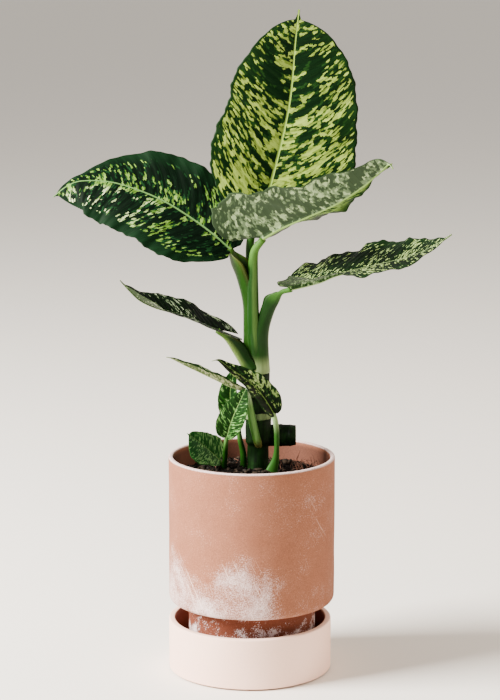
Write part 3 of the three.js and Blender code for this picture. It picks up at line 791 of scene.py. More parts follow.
# %% [markdown]
# ## Routes
#
# A stem grows evenly along its length, whatever the spacing of the points that describe it. The
# curve could be cut at even steps of its own number, but then its rings would bunch up where
# points are close. So a table of its length lets any place on it be named as a share of the
# whole, and rings and rows come out evenly spaced.

# %% Routes
def unit(vectors):
    return vectors / np.linalg.norm(vectors, axis=-1, keepdims=True)


class Route:
    """A curve read by its length: at(0) is its start and at(1) its end."""

    def __init__(self, points, samples=400):
        self.samples = between_points(points, np.linspace(0, 1, samples))
        steps = np.linalg.norm(np.diff(self.samples, axis=0), axis=1)
        self.lengths = np.concatenate([[0], np.cumsum(steps)])
        self.length = self.lengths[-1]

    def at(self, a):
        wanted = np.asarray(a, float) * self.length
        i = np.clip(np.searchsorted(self.lengths, wanted), 1, len(self.lengths) - 1)
        start = self.lengths[i - 1]
        t = (wanted - start) / (self.lengths[i] - start)
        return self.samples[i - 1] + (self.samples[i] - self.samples[i - 1]) * t[..., None]

    def direction(self, a):
        middle = np.clip(a, 0.02, 0.98)
        return unit(self.at(middle + 0.02) - self.at(middle - 0.02))


def square_to(direction, vectors):
    along = np.sum(direction * vectors, axis=-1, keepdims=True)
    return unit(vectors - direction * along)


print("length of a test curve:", round(Route([[0, 0, 0], [10, 0, 0], [20, 5, 0]]).length, 2))

# %% [markdown]
# ## Tubes
#
# A thin root has no more form than a bent tube. A curve object with a bevel would do, but the
# piece has to be a mesh in the end, so rings of points are set along the curve and joined.

# %% Tubes
def tube(points, radius_start, radius_end, sides, steps):
    """Points and faces of a closed tube along a curve."""
    route = Route(points, 60)
    a = np.linspace(0, 1, steps + 1)
    direction = route.direction(a)
    outward = square_to(direction, np.array([0.31, 0.22, 0.93]) + 0 * direction)
    side = np.cross(direction, outward)
    angles = np.arange(sides) / sides * 2 * math.pi
    radius = (radius_start + (radius_end - radius_start) * a)[:, None, None]
    ring = outward[:, None, :] * np.cos(angles)[None, :, None]
    ring = ring + side[:, None, :] * np.sin(angles)[None, :, None]
    grid = route.at(a)[:, None, :] + radius * ring
    faces = [(i * sides + j, i * sides + (j + 1) % sides,
              (i + 1) * sides + (j + 1) % sides, (i + 1) * sides + j)
             for i in range(steps) for j in range(sides)]
    faces += [tuple(range(sides)), tuple(steps * sides + j for j in range(sides))]
    return grid.reshape(-1, 3), faces


print("points of a test tube:", len(tube([[0, 0, 0], [0, 0, 9]], 1, 1, 5, 9)[0]))

# %% [markdown]
# ## Root fibres
#
# Dry rootlets, half a millimetre thick, that stand out of the soil against the wall at the right,
# with a few more strewn over the rest. A hair system could grow them, but 64 small tubes with
# random bends are few enough to be meshes. A root that has dried in air gives the eye a matte
# reddish brown, which drifts along its length.

# %% Root fibres
FIBRES, UPRIGHT_FIBRES = 64, 44
FIBRE_REACH = 64  # how far from the axis a fibre may stand
FIBRE_FOOT, FIBRE_TIP = 0.34, 0.16  # radius at its start and its end
fibre_points, fibre_faces = [], []
for number in range(FIBRES):
    if number < UPRIGHT_FIBRES:
        x, y = draw.normal(50, 9), draw.normal(4, 14)
    else:
        x, y = draw.normal(0, 32), draw.normal(0, 32)
    flat = math.hypot(x, y)
    if flat > FIBRE_REACH:
        x, y = x * FIBRE_REACH / flat, y * FIBRE_REACH / flat
    rise = draw.uniform(5, 13) if number < UPRIGHT_FIBRES else draw.uniform(1, 4)
    start = np.array([x, y, soil_height(x, y) - 1])
    bend = draw.normal(0, 3.2, (3, 3)) * [1, 1, 0.35]
    course = [start, start + bend[0] * 0.5 + [0, 0, rise * 0.45],
              start + bend[0] + bend[1] * 0.6 + [0, 0, rise * 0.85],
              start + bend[0] + bend[1] + bend[2] * 0.5 + [0, 0, rise]]
    some_points, some_faces = tube(course, FIBRE_FOOT, FIBRE_TIP, 5, 9)
    shift = sum(len(p) for p in fibre_points)
    fibre_faces += [tuple(i + shift for i in face) for face in some_faces]
    fibre_points.append(some_points)
fibre_finish, fibre_tree, fibre_surface = new_finish("dry_rootlets", Roughness=0.8, IOR=1.45)
fibre_tint = add(fibre_tree, "ShaderNodeTexNoise", {"Scale": 1 / (9 * MM), "Detail": 2.0})
fibre_colour = add(fibre_tree, "ShaderNodeMix", [fibre_tint, "#2c170e", "#7d4f3a"], **COLOUR)
link(fibre_tree, fibre_colour, fibre_surface.inputs["Base Color"])
make_piece("root_fibres", np.concatenate(fibre_points), fibre_faces, [fibre_finish])

# %% [markdown]
# ## Cane bark
#
# The stem of a dieffenbachia is a smooth green cane, with a scar where each old leaf was shed. Its
# skin has grown under a wax film, so it gives the eye a dark green that is dull rather than
# glossy, in streaks 2 mm wide and 22 mm long that follow the growth. The scars could be painted
# on a map. They are rings at known heights instead, made uneven by a noise of 9 mm and broken up
# by the streaks.

# %% Cane finish
SCARS = (235.2, 2.6), (254, 0.9)  # height and half-width of the wide scar and of the thin one
THIN_SCAR_SHARE = 0.45


def cane_finish():
    finish, tree, surface = new_finish("green_cane_bark", Roughness=0.55, IOR=1.45,
                                       Specular_IOR_Level=0.08)
    place = add(tree, "ShaderNodeTexCoord").outputs["Object"]
    height = add(tree, "ShaderNodeSeparateXYZ", [place]).outputs["Z"]
    drawn_out = add(tree, "ShaderNodeMapping", {
        "Vector": place, "Scale": (1 / (2.2 * MM), 1 / (2.2 * MM), 1 / (22 * MM))})
    streak = add(tree, "ShaderNodeTexNoise", {
        "Vector": drawn_out, "Scale": 1.0, "Detail": 4.0, "Roughness": 0.6})
    blotch = add(tree, "ShaderNodeTexNoise", {
        "Vector": place, "Scale": 1 / (9 * MM), "Detail": 3.0})
    share = add(tree, "ShaderNodeMath", [streak, blotch], operation="MULTIPLY")
    share = add(tree, "ShaderNodeMapRange", [share, 0.15, 0.42])
    green = add(tree, "ShaderNodeMix", [share, "#010901", "#0c2806"], **COLOUR)
    uneven = add(tree, "ShaderNodeMath", [blotch, 4 * MM, height], operation="MULTIPLY_ADD")
    wide, thin = [add(tree, "ShaderNodeMath", [uneven, at * MM, half * MM], operation="COMPARE")
                  for at, half in SCARS]
    scarred = add(tree, "ShaderNodeMath", [thin, THIN_SCAR_SHARE, wide],
                  operation="MULTIPLY_ADD")
    pale = add(tree, "ShaderNodeMath", [scarred, streak], operation="MULTIPLY")
    pale = add(tree, "ShaderNodeMath", [pale, 1.7], operation="MULTIPLY", use_clamp=True)
    colour = add(tree, "ShaderNodeMix", [pale, green, "#66794f"], **COLOUR)
    complete(tree, surface, colour, streak, 0.3, 0.4)
    return finish


cane_bark = cane_finish()
print("cane:", cane_bark.name)

# %% [markdown]
# ## Cane
#
# The cane has a ledge just above the soil, a pale scar at mid-height, and a side shoot that was
# cut off and has dried at its end. It could be sculpted from a cylinder, but its rings and ledges
# are what grew, and an outline says them in a few numbers. Cane and shoot are both turned, the
# shoot is laid on its side, and a little noise keeps them from looking machined.

# %% Cane
CANE_AXIS = [5.8, 8, 0]
SHOOT_START = [5.8, 12, 213.5]
cane_outline = rounded([
    [0, 120, 0], [9.7, 120, 2], [9.7, 206.5, 1.2], [11.6, 208.8, 1.4], [11.5, 229, 2],
    [12.2, 232, 1.2], [10.8, 236, 1.5], [10.4, 250, 1], [11.1, 252, 0.8], [10.4, 254, 1],
    [10.4, 273.5, 0.8], [0, 273.5, 0]], steps=5, longest=3)
cane_points, cane_faces = turned(cane_outline, 72, close=False)
cane_points = wander(cane_points, 0.7, 9, 2.6) + CANE_AXIS
shoot_outline = rounded([
    [0, 0, 0], [9.6, 0, 1], [9.8, 18.5, 2], [10.4, 20.6, 0.8], [9.8, 22.4, 1], [9.8, 27, 1],
    [10.3, 28.9, 0.8], [9.6, 31, 1.2], [8.9, 34.4, 0.7], [6.5, 33.7, 1], [0, 33.2, 0]],
    steps=5, longest=3)
shoot_points, shoot_faces = turned(shoot_outline, 56, close=False)
shoot_points = wander(shoot_points, 0.8, 7, 5.2)
shoot_points = shoot_points[:, [2, 1, 0]] * [1, 1, -1] + SHOOT_START
shoot_faces = [tuple(i + len(cane_points) for i in face) for face in shoot_faces]
make_piece("cane_skin", np.concatenate([cane_points, shoot_points]), cane_faces + shoot_faces,
           [cane_bark], ["cane"])

# %% [markdown]
# ## Leaves in numbers: upright and front
#
# On the plant every leaf is broad, folded a little along its midrib, and carried by a stalk of
# its own. Such a leaf could be bent by hand from a flat sheet, but ten of them have to match the
# solid model, so each is written down in numbers, the same that the solids use. They say where
# the midrib runs and which way its upper face looks, how wide the two halves are and how far they
# are folded up and curled, and how the stalk runs and what its section is.

# %% Upright and front leaf
# rib: points of the midrib. face: which way the upper face looks, from base to tip.
# half: width of the left and the right half in millimetres, as read along the rib.
# shape: how full the base and the tip are. tip: share of the length that the drawn-out tip takes.
# lobe: how far the base reaches back past the stalk, as a share of the length. lean: how far the
# margin runs ahead of the midrib. fold and curl: degrees, from base to tip. waves: height in
# millimetres, count and phase of the margin's waves. nicks: depth and count of its small nicks.
# route, outward: points of the stalk, and the way its outer side looks. section: half-width,
# outer reach and inner reach of the stalk. An inner reach above zero makes it a gutter.
LEAVES = {
    "upright": dict(
        size="large",
        rib=[[9.2, 15, 413.5], [18.2, 22, 446.3], [28.8, 29, 488.3], [34.9, 31, 521.9],
             [38.3, 29, 563.5], [41.6, 24, 595.2]],
        face=[[0, -1, 0.2], [0, -1, 0.1]],
        half=dict(left=[65, 64, 60.5, 55, 59.5, 54, 46], right=[64, 70, 64, 64.5, 65]),
        shape=(0.38, 0.5), tip=0.05, lobe=0.02, lean=0.12,
        fold=dict(left=[16, 14, 10], right=[4, 10, 8]), curl=dict(left=[-10], right=[-10]),
        waves=(1.5, 5, 0.2),
        route=[[5.8, 11, 274], [2, 10.5, 320], [-1.5, 10, 365], [-0.5, 12, 395]],
        outward=[[0, 1, 0]],
        section=[[4.2, 4, -4], [3.8, 3.8, -3.8], [3.4, 3.4, -3.4]]),
    "front": dict(
        size="large",
        rib=[[9, -12, 396.9], [25.5, -33, 409.4], [48.2, -62, 423.2], [71.8, -92, 438],
             [92, -115, 454.5], [106, -130, 468.5], [112.5, -139.5, 475.5],
             [115.7, -147, 472.5]],
        face=[[0, 0, 1], [0, 0, 1]],
        half=dict(left=[45, 36, 25, 14, 11], right=[66, 62, 51, 40, 26]),
        shape=(0.36, 0.45), tip=0.025, lobe=0.16, lean=0.1,
        fold=dict(left=[14, 4, -3, 6, 12], right=[33, 24, 28]), curl=dict(left=[0], right=[0]),
        waves=(2, 4, 0),
        route=[[3.8, 2, 274], [2.9, 0, 292], [1.7, -2, 313], [1.1, -4, 340], [1.1, -6, 367],
               [2.4, -9, 384], [7.3, -12, 392.4]],
        outward=[[0, -1, 0], [0, -1, -0.2], [0.1, -0.6, -0.8]],
        section=[[5.5, 5, 1.5], [5.4, 5, 0], [5.2, 5, -1], [4.6, 4.4, -3], [3, 3, -3]]),
}

print("leaves:", ", ".join(LEAVES))

# %% [markdown]
# ## Leaves in numbers: left and right
#
# The two broad side leaves are carried by long sheaths. The left one faces the viewer, and its
# upper half folds back towards the tip, while the right one is seen from low down. A mirror image
# of one could serve as the other, but no plant grows like that. Their sections need more points
# than the others, because a sheath opens and closes again along its length.

# %% Left and right leaf
LEAVES |= {
    "left": dict(
        size="large",
        rib=[[-18.4, -2, 384.8], [-33.5, 2, 397.6], [-51.3, 7, 410.4], [-76.2, 12, 425.5],
             [-101.2, 16, 436.1], [-126.2, 19, 442.9], [-151.2, 20, 443.7], [-164.4, 19.7, 439.2],
             [-177.2, 19, 429.5]],
        face=[[0.1, -0.8, 0.6], [0, -0.8, 0.6]],
        half=dict(left=[46, 55, 51, 46, 47, 50, 60],
                  right=[58, 54, 48, 46, 37, 18, 8]),
        shape=(0.48, 0.56), tip=0.025, lobe=0.02, lean=0.1,
        fold=dict(left=[12, 10, 0, -6], right=[-2, 4, -8, -36]), curl=dict(left=[-10], right=[0]),
        waves=(1.6, 5, 0.1),
        route=[[-4.2, 6, 274], [-6, 6, 291], [-6, 5, 307], [-6, 4, 322], [-6.4, 3, 336],
               [-8.2, 2, 350.5], [-11.8, 0, 365], [-15.3, -1, 375]],
        outward=[[-1, -0.2, 0], [-0.9, 0, -0.2], [-0.4, 0.6, -0.6]],
        section=[[8, 9, 6], [8, 9.5, 6.5], [8, 10, 7], [7.5, 10.5, 7.5], [7, 11, 8], [7, 11.5, 8.5],
                 [6.5, 12, 8], [6, 13, 7], [5.5, 14, 7], [5, 15, 6], [2.8, 2.8, -2.8]]),
    "right": dict(
        size="large",
        rib=[[33.9, -8, 351.7], [58.8, -18, 359.5], [74.5, -24, 366.6], [105.7, -36, 375.9],
             [136.2, -48, 385.6], [156.7, -57, 396.1], [171.8, -63, 407.3]],
        face=[[0, 0, 1], [0, 0, 1]],
        half=dict(left=[50, 36, 45, 46, 42], right=[40]),
        shape=(0.3, 0.66), tip=0.05, lobe=0.03, lean=0.1,
        fold=dict(left=[25, 24, 23], right=[22, 4, -13, -20]), curl=dict(left=[0], right=[0]),
        waves=(2, 4, 0.35), nicks=(0.035, 8),
        route=[[14.2, 3.5, 274], [13.2, 3, 292], [13.2, 1, 308], [16.2, 0, 323], [21, -3, 337],
               [25.9, -6, 347]],
        outward=[[0.9, -0.45, 0], [0.8, -0.4, -0.4], [0.2, -0.1, -1]],
        section=[[10, 10, 7], [9.5, 10.5, 7.5], [9, 10.5, 7.5], [8.5, 10.5, 7.5], [8.5, 10, 7],
                 [8, 9.5, 6.5], [7.5, 10, 6.5], [7, 10.5, 6.5], [5.5, 12, 6.5], [2.8, 3.4, -1],
                 [2.4, 2.4, -2.4]]),
}

print("leaves:", ", ".join(LEAVES))

# %% [markdown]
# ## Leaves in numbers: low left and folded
#
# Low on the cane stand a narrow leaf, folded so that it shows its under face, and a thin folded
# one on a pale stalk in front of the cane. They could be copies of a large leaf at a smaller
# size, but then they would look stiff, so they have numbers of their own.

# %% Low left and folded leaf
LEAVES |= {
    "low_left": dict(
        size="narrow",
        rib=[[-29.1, -6, 313.9], [-38.8, -10, 318.3], [-54.6, -17, 327.1], [-71.2, -22, 332.9],
             [-85.1, -26, 337.6], [-98, -30, 344.5], [-107.4, -33, 353.9], [-115.1, -35, 363]],
        face=[[0, 0, 1], [0, 0, 1]],
        half=dict(left=[30, 26, 25], right=[19, 23, 26, 24]),
        shape=(0.4, 0.7), tip=0.05, lobe=0.2, lean=0.12,
        fold=dict(left=[-3, -3, 2, 17, 22], right=[32, 32, 30, 29]),
        curl=dict(left=[0], right=[0]), waves=(0.7, 3, 0.1),
        route=[[-4.2, 2, 274], [-10.5, 1, 284], [-17.6, -1, 296], [-23.8, -4, 306]],
        outward=[[-0.85, -0.5, 0], [-0.6, -0.4, -0.6], [-0.2, -0.1, -1]],
        section=[[9, 9, 6.5], [8, 9.5, 7], [7, 11, 8.5], [5, 8, 5.5], [2.6, 2.6, -2.6]]),
    "folded": dict(
        size="small",
        rib=[[-6, -4, 257.7], [-19.4, -8, 263.1], [-30.6, -12, 269.3], [-45.9, -17, 277.6],
             [-60, -22, 285.3], [-71.3, -26, 291.9], [-75.6, -28, 293.2]],
        face=[[0, 0, 1], [0, 0, 1]],
        half=dict(left=[9.5], right=[9.5]),
        shape=(0.5, 0.8), tip=0.05, lobe=0.02, lean=0.12,
        fold=dict(left=[32], right=[34]), curl=dict(left=[0], right=[0]),
        waves=(0.6, 3, 0.1),
        route=[[6.8, 2, 206], [4.4, -5, 214], [1.2, -6.5, 228], [-2.2, -6, 245], [-4.2, -5, 254]],
        outward=[[0, -1, 0], [0.3, -0.5, -0.8]],
        section=[[3.6, 3.4, -3.4], [3.6, 3.2, -3], [2.8, 2.6, -2.6]]),
}

print("leaves:", ", ".join(LEAVES))

# %% [markdown]
# ## Leaves in numbers: the young ones
#
# Four young leaves come up from the soil beside the cane, on thin stalks. One leaf could be
# turned and used four times, but from the front all four are seen side by side. So each has few
# points, because a small leaf has little room for bends, but its own lean and its own fold.

# %% Young leaves
LEAVES |= {
    "hooked": dict(
        size="small",
        rib=[[19.9, -16, 239.2], [12.7, -20, 251.9], [3.8, -24, 264.5], [-7.7, -28, 275.2],
             [-19.2, -32, 283.7], [-28.8, -35, 291.4], [-35.3, -38, 291.5]],
        face=[[0.25, -0.85, 0.45], [0.25, -0.85, 0.45]],
        half=dict(left=[10], right=[15, 12, 8]),
        shape=(0.4, 0.9), tip=0.05, lobe=0.02, lean=0.12,
        fold=dict(left=[25], right=[25]), curl=dict(left=[0], right=[0]),
        waves=(0.8, 4, 0.1),
        route=[[12.5, -6.5, 164], [15.5, -7, 178], [21.6, -8, 197], [22.4, -11, 218.7],
               [21.2, -14, 232]],
        outward=[[0, 1, 0], [-0.2, 0.85, -0.45]],
        section=[[7, 3, -3], [5.5, 2.7, -2.7], [2.6, 2.5, -2.5], [2.4, 2.4, -2.4],
                 [2.5, 2.5, -2.5]]),
    "small": dict(
        size="small",
        rib=[[-22.6, -6, 215.4], [-19.4, -10, 227.8], [-14.9, -12, 240.2], [-9.6, -12, 252],
             [-4.2, -11, 263.7]],
        face=[[-0.1, -0.95, 0.2], [-0.1, -0.95, 0.2]],
        half=dict(left=[13], right=[9, 13, 14]),
        shape=(0.4, 0.8), tip=0.05, lobe=0.02, lean=0.12,
        fold=dict(left=[16], right=[16]), curl=dict(left=[0], right=[0]),
        waves=(0.6, 4, 0.1),
        route=[[-25.6, 13, 160], [-25.2, 12, 181.1], [-23.9, 5, 196.8], [-23.2, -3, 209]],
        outward=[[0, 1, 0]],
        section=[[2.6, 2.4, -2.4], [2, 2, -2]]),
    "rim": dict(
        size="small",
        rib=[[-28.9, 22, 188.1], [-37.9, 14, 198.4], [-47.6, 6, 208.6], [-58.1, -2, 218.6]],
        face=[[0.1, -0.75, 0.65], [0.1, -0.75, 0.65]],
        half=dict(left=[11, 16, 27, 42], right=[20, 16, 12, 10]),
        shape=(0.35, 0.5), tip=0.05, lobe=0.02, lean=0.12,
        fold=dict(left=[10], right=[10]), curl=dict(left=[0], right=[0]),
        waves=(0.8, 3, 0.1),
        route=[[-23, 34, 160], [-25, 31, 172], [-26.6, 28, 180]],
        outward=[[0, 1, 0], [0, 0.75, -0.65]],
        section=[[2.2, 2.2, -2.2], [1.8, 1.8, -1.8]]),
    "back": dict(
        size="small",
        rib=[[-12.4, 10, 220.6], [-16.9, 10, 235.4], [-19.6, 9, 250.4], [-17.7, 8, 265.3],
             [-12.3, 7, 279.3]],
        face=[[-0.1, -1, 0.1], [-0.1, -1, 0.1]],
        half=dict(left=[12], right=[8]),
        shape=(0.4, 0.8), tip=0.05, lobe=0.02, lean=0.12,
        fold=dict(left=[12], right=[12]), curl=dict(left=[0], right=[0]),
        waves=(0.6, 3, 0.1),
        route=[[-8, 16, 160], [-7.5, 15.5, 175], [-7.6, 14, 195], [-10.6, 12, 210]],
        outward=[[0, 1, 0]],
        section=[[3.6, 3.4, -3.4], [3, 3, -3], [2.2, 2.2, -2.2]]),
}

print("leaves:", ", ".join(LEAVES))

# %% [markdown]
# ## How fine a leaf is
#
# A large leaf has about 22 side veins, and each needs several rows to bulge between them. One
# fine grid for all would waste faces on the small leaves, so there are three sizes of grid. The
# midrib's width and depth and the height of the quilting go with them.

# %% Leaf sizes
# rows, columns on each half, midrib width and depth, side veins, height of the quilting
SIZES = {
    "large": dict(rows=132, columns=44, rib=(2.4, 2.6), veins=22, quilt=0.45),
    "narrow": dict(rows=110, columns=32, rib=(1.8, 1.8), veins=18, quilt=0.35),
    "small": dict(rows=80, columns=26, rib=(1.2, 1.0), veins=13, quilt=0.2),
}
print("rows between two side veins:", SIZES["large"]["rows"] / SIZES["large"]["veins"])

# %% [markdown]
# ## Course of a stalk
#
# A stalk leaves the cane or the soil, bends outwards and runs into the underside of its midrib.
# Its last point could be typed in like the others, but then a blade that is moved would come off
# its stalk. So the end is worked out from the midrib, just below its start.

# %% Course of a stalk
TOUCH = 0.3  # the gap that the solids keep


def stalk_route(leaf):
    """The stalk's curve, which ends under the start of the midrib."""
    rib = Route(leaf["rib"])
    direction = rib.direction(np.array(0.0))
    face = square_to(direction, np.array(leaf["face"][0], float))
    radius = leaf["section"][-1][1]
    end = rib.at(np.array(0.0)) - direction * TOUCH - face * 0.7 * radius
    return Route([*leaf["route"], end.tolist()])


print("length of the upright stalk:", round(stalk_route(LEAVES["upright"]).length), "mm")

# %% [markdown]
# ## Leaf stalks
#
# A stalk is round near its blade. Lower down, on the large leaves, it opens into a sheath: a long
# gutter that wraps the stem, with thin edges that end in a rounded ear. It could be a tube with a
# sheet joined to it, but the join would show. Its cross-section lies between two arcs that share
# their ends, one reaching out and one in, which covers both forms with three numbers. The
# sections are joined into a tube along the stalk's curve.

# %% Stalk mesh
STALK_ARC = 14  # steps in each arc of the section
STALK_STEPS = 72
FOOT_SUNK, HEAD_REACH = 1.2, 1.5  # how far a skin runs on past both ends of its stalk


def stalk_mesh(leaf):
    route = stalk_route(leaf)
    a = np.linspace(0, 1, STALK_STEPS + 1)
    direction = route.direction(a)
    out = square_to(direction, between_points(leaf["outward"], a))
    side = np.cross(direction, out)
    half, outer, inner = [between([s[k] for s in leaf["section"]], a) for k in range(3)]
    swing = np.linspace(-90, 90, STALK_ARC + 1)
    angles = np.radians(np.concatenate([swing, swing[1:-1][::-1]]))
    on_outer = np.concatenate([np.ones(STALK_ARC + 1), np.zeros(STALK_ARC - 1)])
    reach = np.where(on_outer[None, :] > 0, outer[:, None], inner[:, None]) * np.cos(angles)
    reach -= ((outer + inner) / 2)[:, None]
    middle = route.at(a)
    middle[0] -= direction[0] * FOOT_SUNK
    middle[-1] += direction[-1] * HEAD_REACH
    grid = (middle[:, None, :] + out[:, None, :] * reach[..., None]
            + side[:, None, :] * (half[:, None] * np.sin(angles))[..., None])
    count = len(angles)
    faces = [(i * count + j, i * count + (j + 1) % count,
              (i + 1) * count + (j + 1) % count, (i + 1) * count + j)
             for i in range(STALK_STEPS) for j in range(count)]
    for start in (0, STALK_STEPS * count):
        for j in range(STALK_ARC):
            ring = [start + j, start + j + 1, start + (count - j - 1) % count,
                    start + (count - j) % count]
            faces.append(tuple(dict.fromkeys(ring)))
    lengthwise = np.repeat(a[:, None] * route.length, count, axis=1)
    around = np.repeat(np.degrees(angles)[None, :] / 90, STALK_STEPS + 1, axis=0)
    outside = np.repeat(on_outer[None, :], STALK_STEPS + 1, axis=0)
    place = np.stack([lengthwise, around, outside], axis=-1).reshape(-1, 3)
    return grid.reshape(-1, 3), faces, place, route.length


print("points round a stalk:", 2 * STALK_ARC)

# %% [markdown]
# ## Stalk colours
#
# No two stalks have the same green: old ones are dark, the one in shade is pale, and every sheath
# bleaches where it was covered. One material with random tints would be shorter, but the eye
# finds these differences at once, so each stalk has a row of its own.

# %% Stalk colours
# flank and keel: colours of the sides, and of the bright line along the outer side. at and wide:
# where that line lies, from -1 to 1 round the stalk, and how wide it is. foot and head: colours
# of both ends. edge: colour of a sheath's dried edge. low: where a dark shade above the foot
# starts to fade, where it has gone, both in millimetres, and its colour.
STALK_LOOKS = {
    "upright": dict(flank="#0f3307", keel="#33541b", foot="#2c4a18", head="#2c5216"),
    "front": dict(flank="#12340a", keel="#3e5c25", foot="#7f9460", head="#4a742a", at=0.22,
                  wide=0.38, low=(16, 36, "#15390a")),
    "left": dict(flank="#092403", keel="#1b3d0c", foot="#0b2604", head="#243c0e",
                 edge="#3d3a12", at=0.5),
    "right": dict(flank="#0c2c04", keel="#64803c", foot="#7f9460", head="#3f6a26", at=0.34,
                  wide=0.3, low=(16, 26, "#123505")),
    "low_left": dict(flank="#092603", keel="#5a7136", foot="#14340a", head="#3f6022",
                     edge="#6d5a28", at=-0.05, wide=0.55),
    "folded": dict(flank="#2f571a", keel="#608846", foot="#5a4c24", head="#9db88a", at=0.1),
    "hooked": dict(flank="#234a16", keel="#5c8040", foot="#1a4110", head="#809c64", at=-0.1),
    "small": dict(flank="#0f3604", keel="#2d4a16", foot="#0c2d04", head="#4a7434"),
    "rim": dict(flank="#123a08", keel="#335a1e", foot="#0d3005", head="#42692c"),
    "back": dict(flank="#143a0a", keel="#3a5f20", foot="#0f3206", head="#42692c"),
}
print("stalk colours:", len(STALK_LOOKS))

# %% [markdown]
# ## Stalk skin
#
# A fleshy green stem under a thin wax film, as it grew. The wax gives the eye a satin gleam, the
# keel is brighter because the skin is thin there over water-filled tissue, and the flanks are
# darker. Fine lines run lengthwise, about one millimetre apart. The edges of a sheath dry to
# brown. The colours could be painted on the points, but a stalk has too few of them for soft
# ends, so they are laid over each other as coats, by the place on the stalk.

# %% Stalk finish
# How many blobs fit in a millimetre along the stalk, and in a quarter turn round it.
STALK_LINES, STALK_CLOUDS = (1 / 26, 9.0, 3.0), (1 / 30, 1.6, 1.0)


def stalk_finish(name, length, look):
    finish, tree, surface = new_finish(f"waxy_stalk_{name}", Roughness=0.42, IOR=1.42,
                                       Specular_IOR_Level=0.14)
    place = add(tree, "ShaderNodeAttribute", attribute_name="stalk_place").outputs["Vector"]
    along, around, outer = add(tree, "ShaderNodeSeparateXYZ", [place]).outputs
    lines = add(tree, "ShaderNodeMapping", {"Vector": place, "Scale": STALK_LINES})
    streak = add(tree, "ShaderNodeTexNoise", {
        "Vector": lines, "Scale": 1.0, "Detail": 3.0, "Roughness": 0.6})
    broad = add(tree, "ShaderNodeMapping", {"Vector": place, "Scale": STALK_CLOUDS})
    cloud = add(tree, "ShaderNodeTexNoise", {"Vector": broad, "Scale": 1.0, "Detail": 2.0})
    off_keel = weighted(tree, [(around, 1.0)], -look.get("at", 0.0))
    off_keel = add(tree, "ShaderNodeMath", [off_keel], operation="ABSOLUTE")
    off_keel = weighted(tree, [(cloud, 0.3)], off_keel)
    wide = look.get("wide", 0.45)
    keel = add(tree, "ShaderNodeMapRange", [off_keel, 0.15 + 1.15 * wide, 0.15 + 0.3 * wide],
               **SOFT)
    keel = add(tree, "ShaderNodeMath", [keel, outer], operation="MULTIPLY")
    foot = add(tree, "ShaderNodeMapRange", [along, min(17, length * 0.25), 3.0, 0, 0.85], **SOFT)
    head = add(tree, "ShaderNodeMapRange", [along, length * 0.72, length * 0.95, 0, 0.8], **SOFT)
    coats = [(foot, look["foot"]), (head, look["head"])]
    if "low" in look:
        start, end, tint = look["low"]
        low = add(tree, "ShaderNodeMapRange", [along, end, start, 0, 0.9], **SOFT)
        coats.insert(0, (low, tint))
    if "edge" in look:
        at_edge = add(tree, "ShaderNodeMath", [around], operation="ABSOLUTE")
        thin = add(tree, "ShaderNodeMapRange", [at_edge, 0.7, 1.0, 0, 0.6], **SOFT)
        high = add(tree, "ShaderNodeMapRange", [along, length * 0.55, length * 0.85], **SOFT)
        coats.append((add(tree, "ShaderNodeMath", [thin, high], operation="MULTIPLY"),
                      look["edge"]))
    colour = add(tree, "ShaderNodeMix", [keel, look["flank"], look["keel"]], **COLOUR)
    colour = coated(tree, colour, coats)
    shade = add(tree, "ShaderNodeMapRange", [streak, 0.3, 0.7, 0.8, 1.2])
    colour = add(tree, "ShaderNodeMix", [1.0, colour, shade], blend_type="MULTIPLY", **COLOUR)
    complete(tree, surface, colour, streak, 0.18, 0.3)
    return finish


print("lines in a quarter turn of a stalk:", STALK_LINES[1])

# %% [markdown]
# ## Ten stalks
#
# Every leaf has a stalk, round or with a sheath. They could be joined to their blades, but a
# stalk and a blade are two solids in the part, so each is a piece of its own.

# %% Ten stalks
for name, leaf in LEAVES.items():
    points, faces, place, length = stalk_mesh(leaf)
    finish = stalk_finish(name, length, STALK_LOOKS[name])
    make_piece(f"{name}_stalk_skin", points, faces, [finish], [f"{name}_stalk"],
               {"stalk_place": place})

# %% [markdown]
# ## A leaf's outline
#
# A dieffenbachia leaf is an oval that is fullest below its middle and is drawn out to a point. It
# could be traced point by point, but a power of the distance from each end gives a smooth margin
# from two numbers, and so ten leaves share one formula.

# %% Leaf outline
TIP_SHARE = 0.016  # narrowest half-width, as a share of the widest


def breadth(leaf, s):
    """Share of the greatest half-width, from the back of the base (0) to the tip (1)."""
    body = 1 - leaf["tip"]
    base, end = leaf["shape"]
    peak = base / (base + end) * body
    inside = np.maximum(body - s, 0) / (body - peak)
    plain = (np.maximum(s, 0) / peak) ** base * inside ** end
    point = 0.13 * np.minimum((1 - s) / (2 * leaf["tip"]), 1) ** 1.4
    return np.hypot(plain, point)


print("half-width in the middle:", breadth(LEAVES["upright"], np.array(0.5)).round(2))

# %% [markdown]
# ## Half a leaf
#
# A blade is a sheet folded along its midrib, and its two halves differ in width, fold and curl.
# Bones or a bend modifier could fold a flat one, but every row would need its own. So each half
# is worked out as a grid: rows run from the base to the tip, and columns from the midrib out to
# the margin. A row goes out along an arc, at the fold's angle, and its margin waves and has small
# nicks. Every point notes its place along the side veins, which lean towards the tip.

# %% Half a leaf
VEIN_LEAN = (0.3, 0.55)  # run towards the tip per mm outwards: at the midrib, and added outside
USUAL_NICKS = (0.011, 9)  # depth as a share of the width, and count
RIPPLE = (0.32, 2.7)  # height and count of the small waves, as shares of the large ones


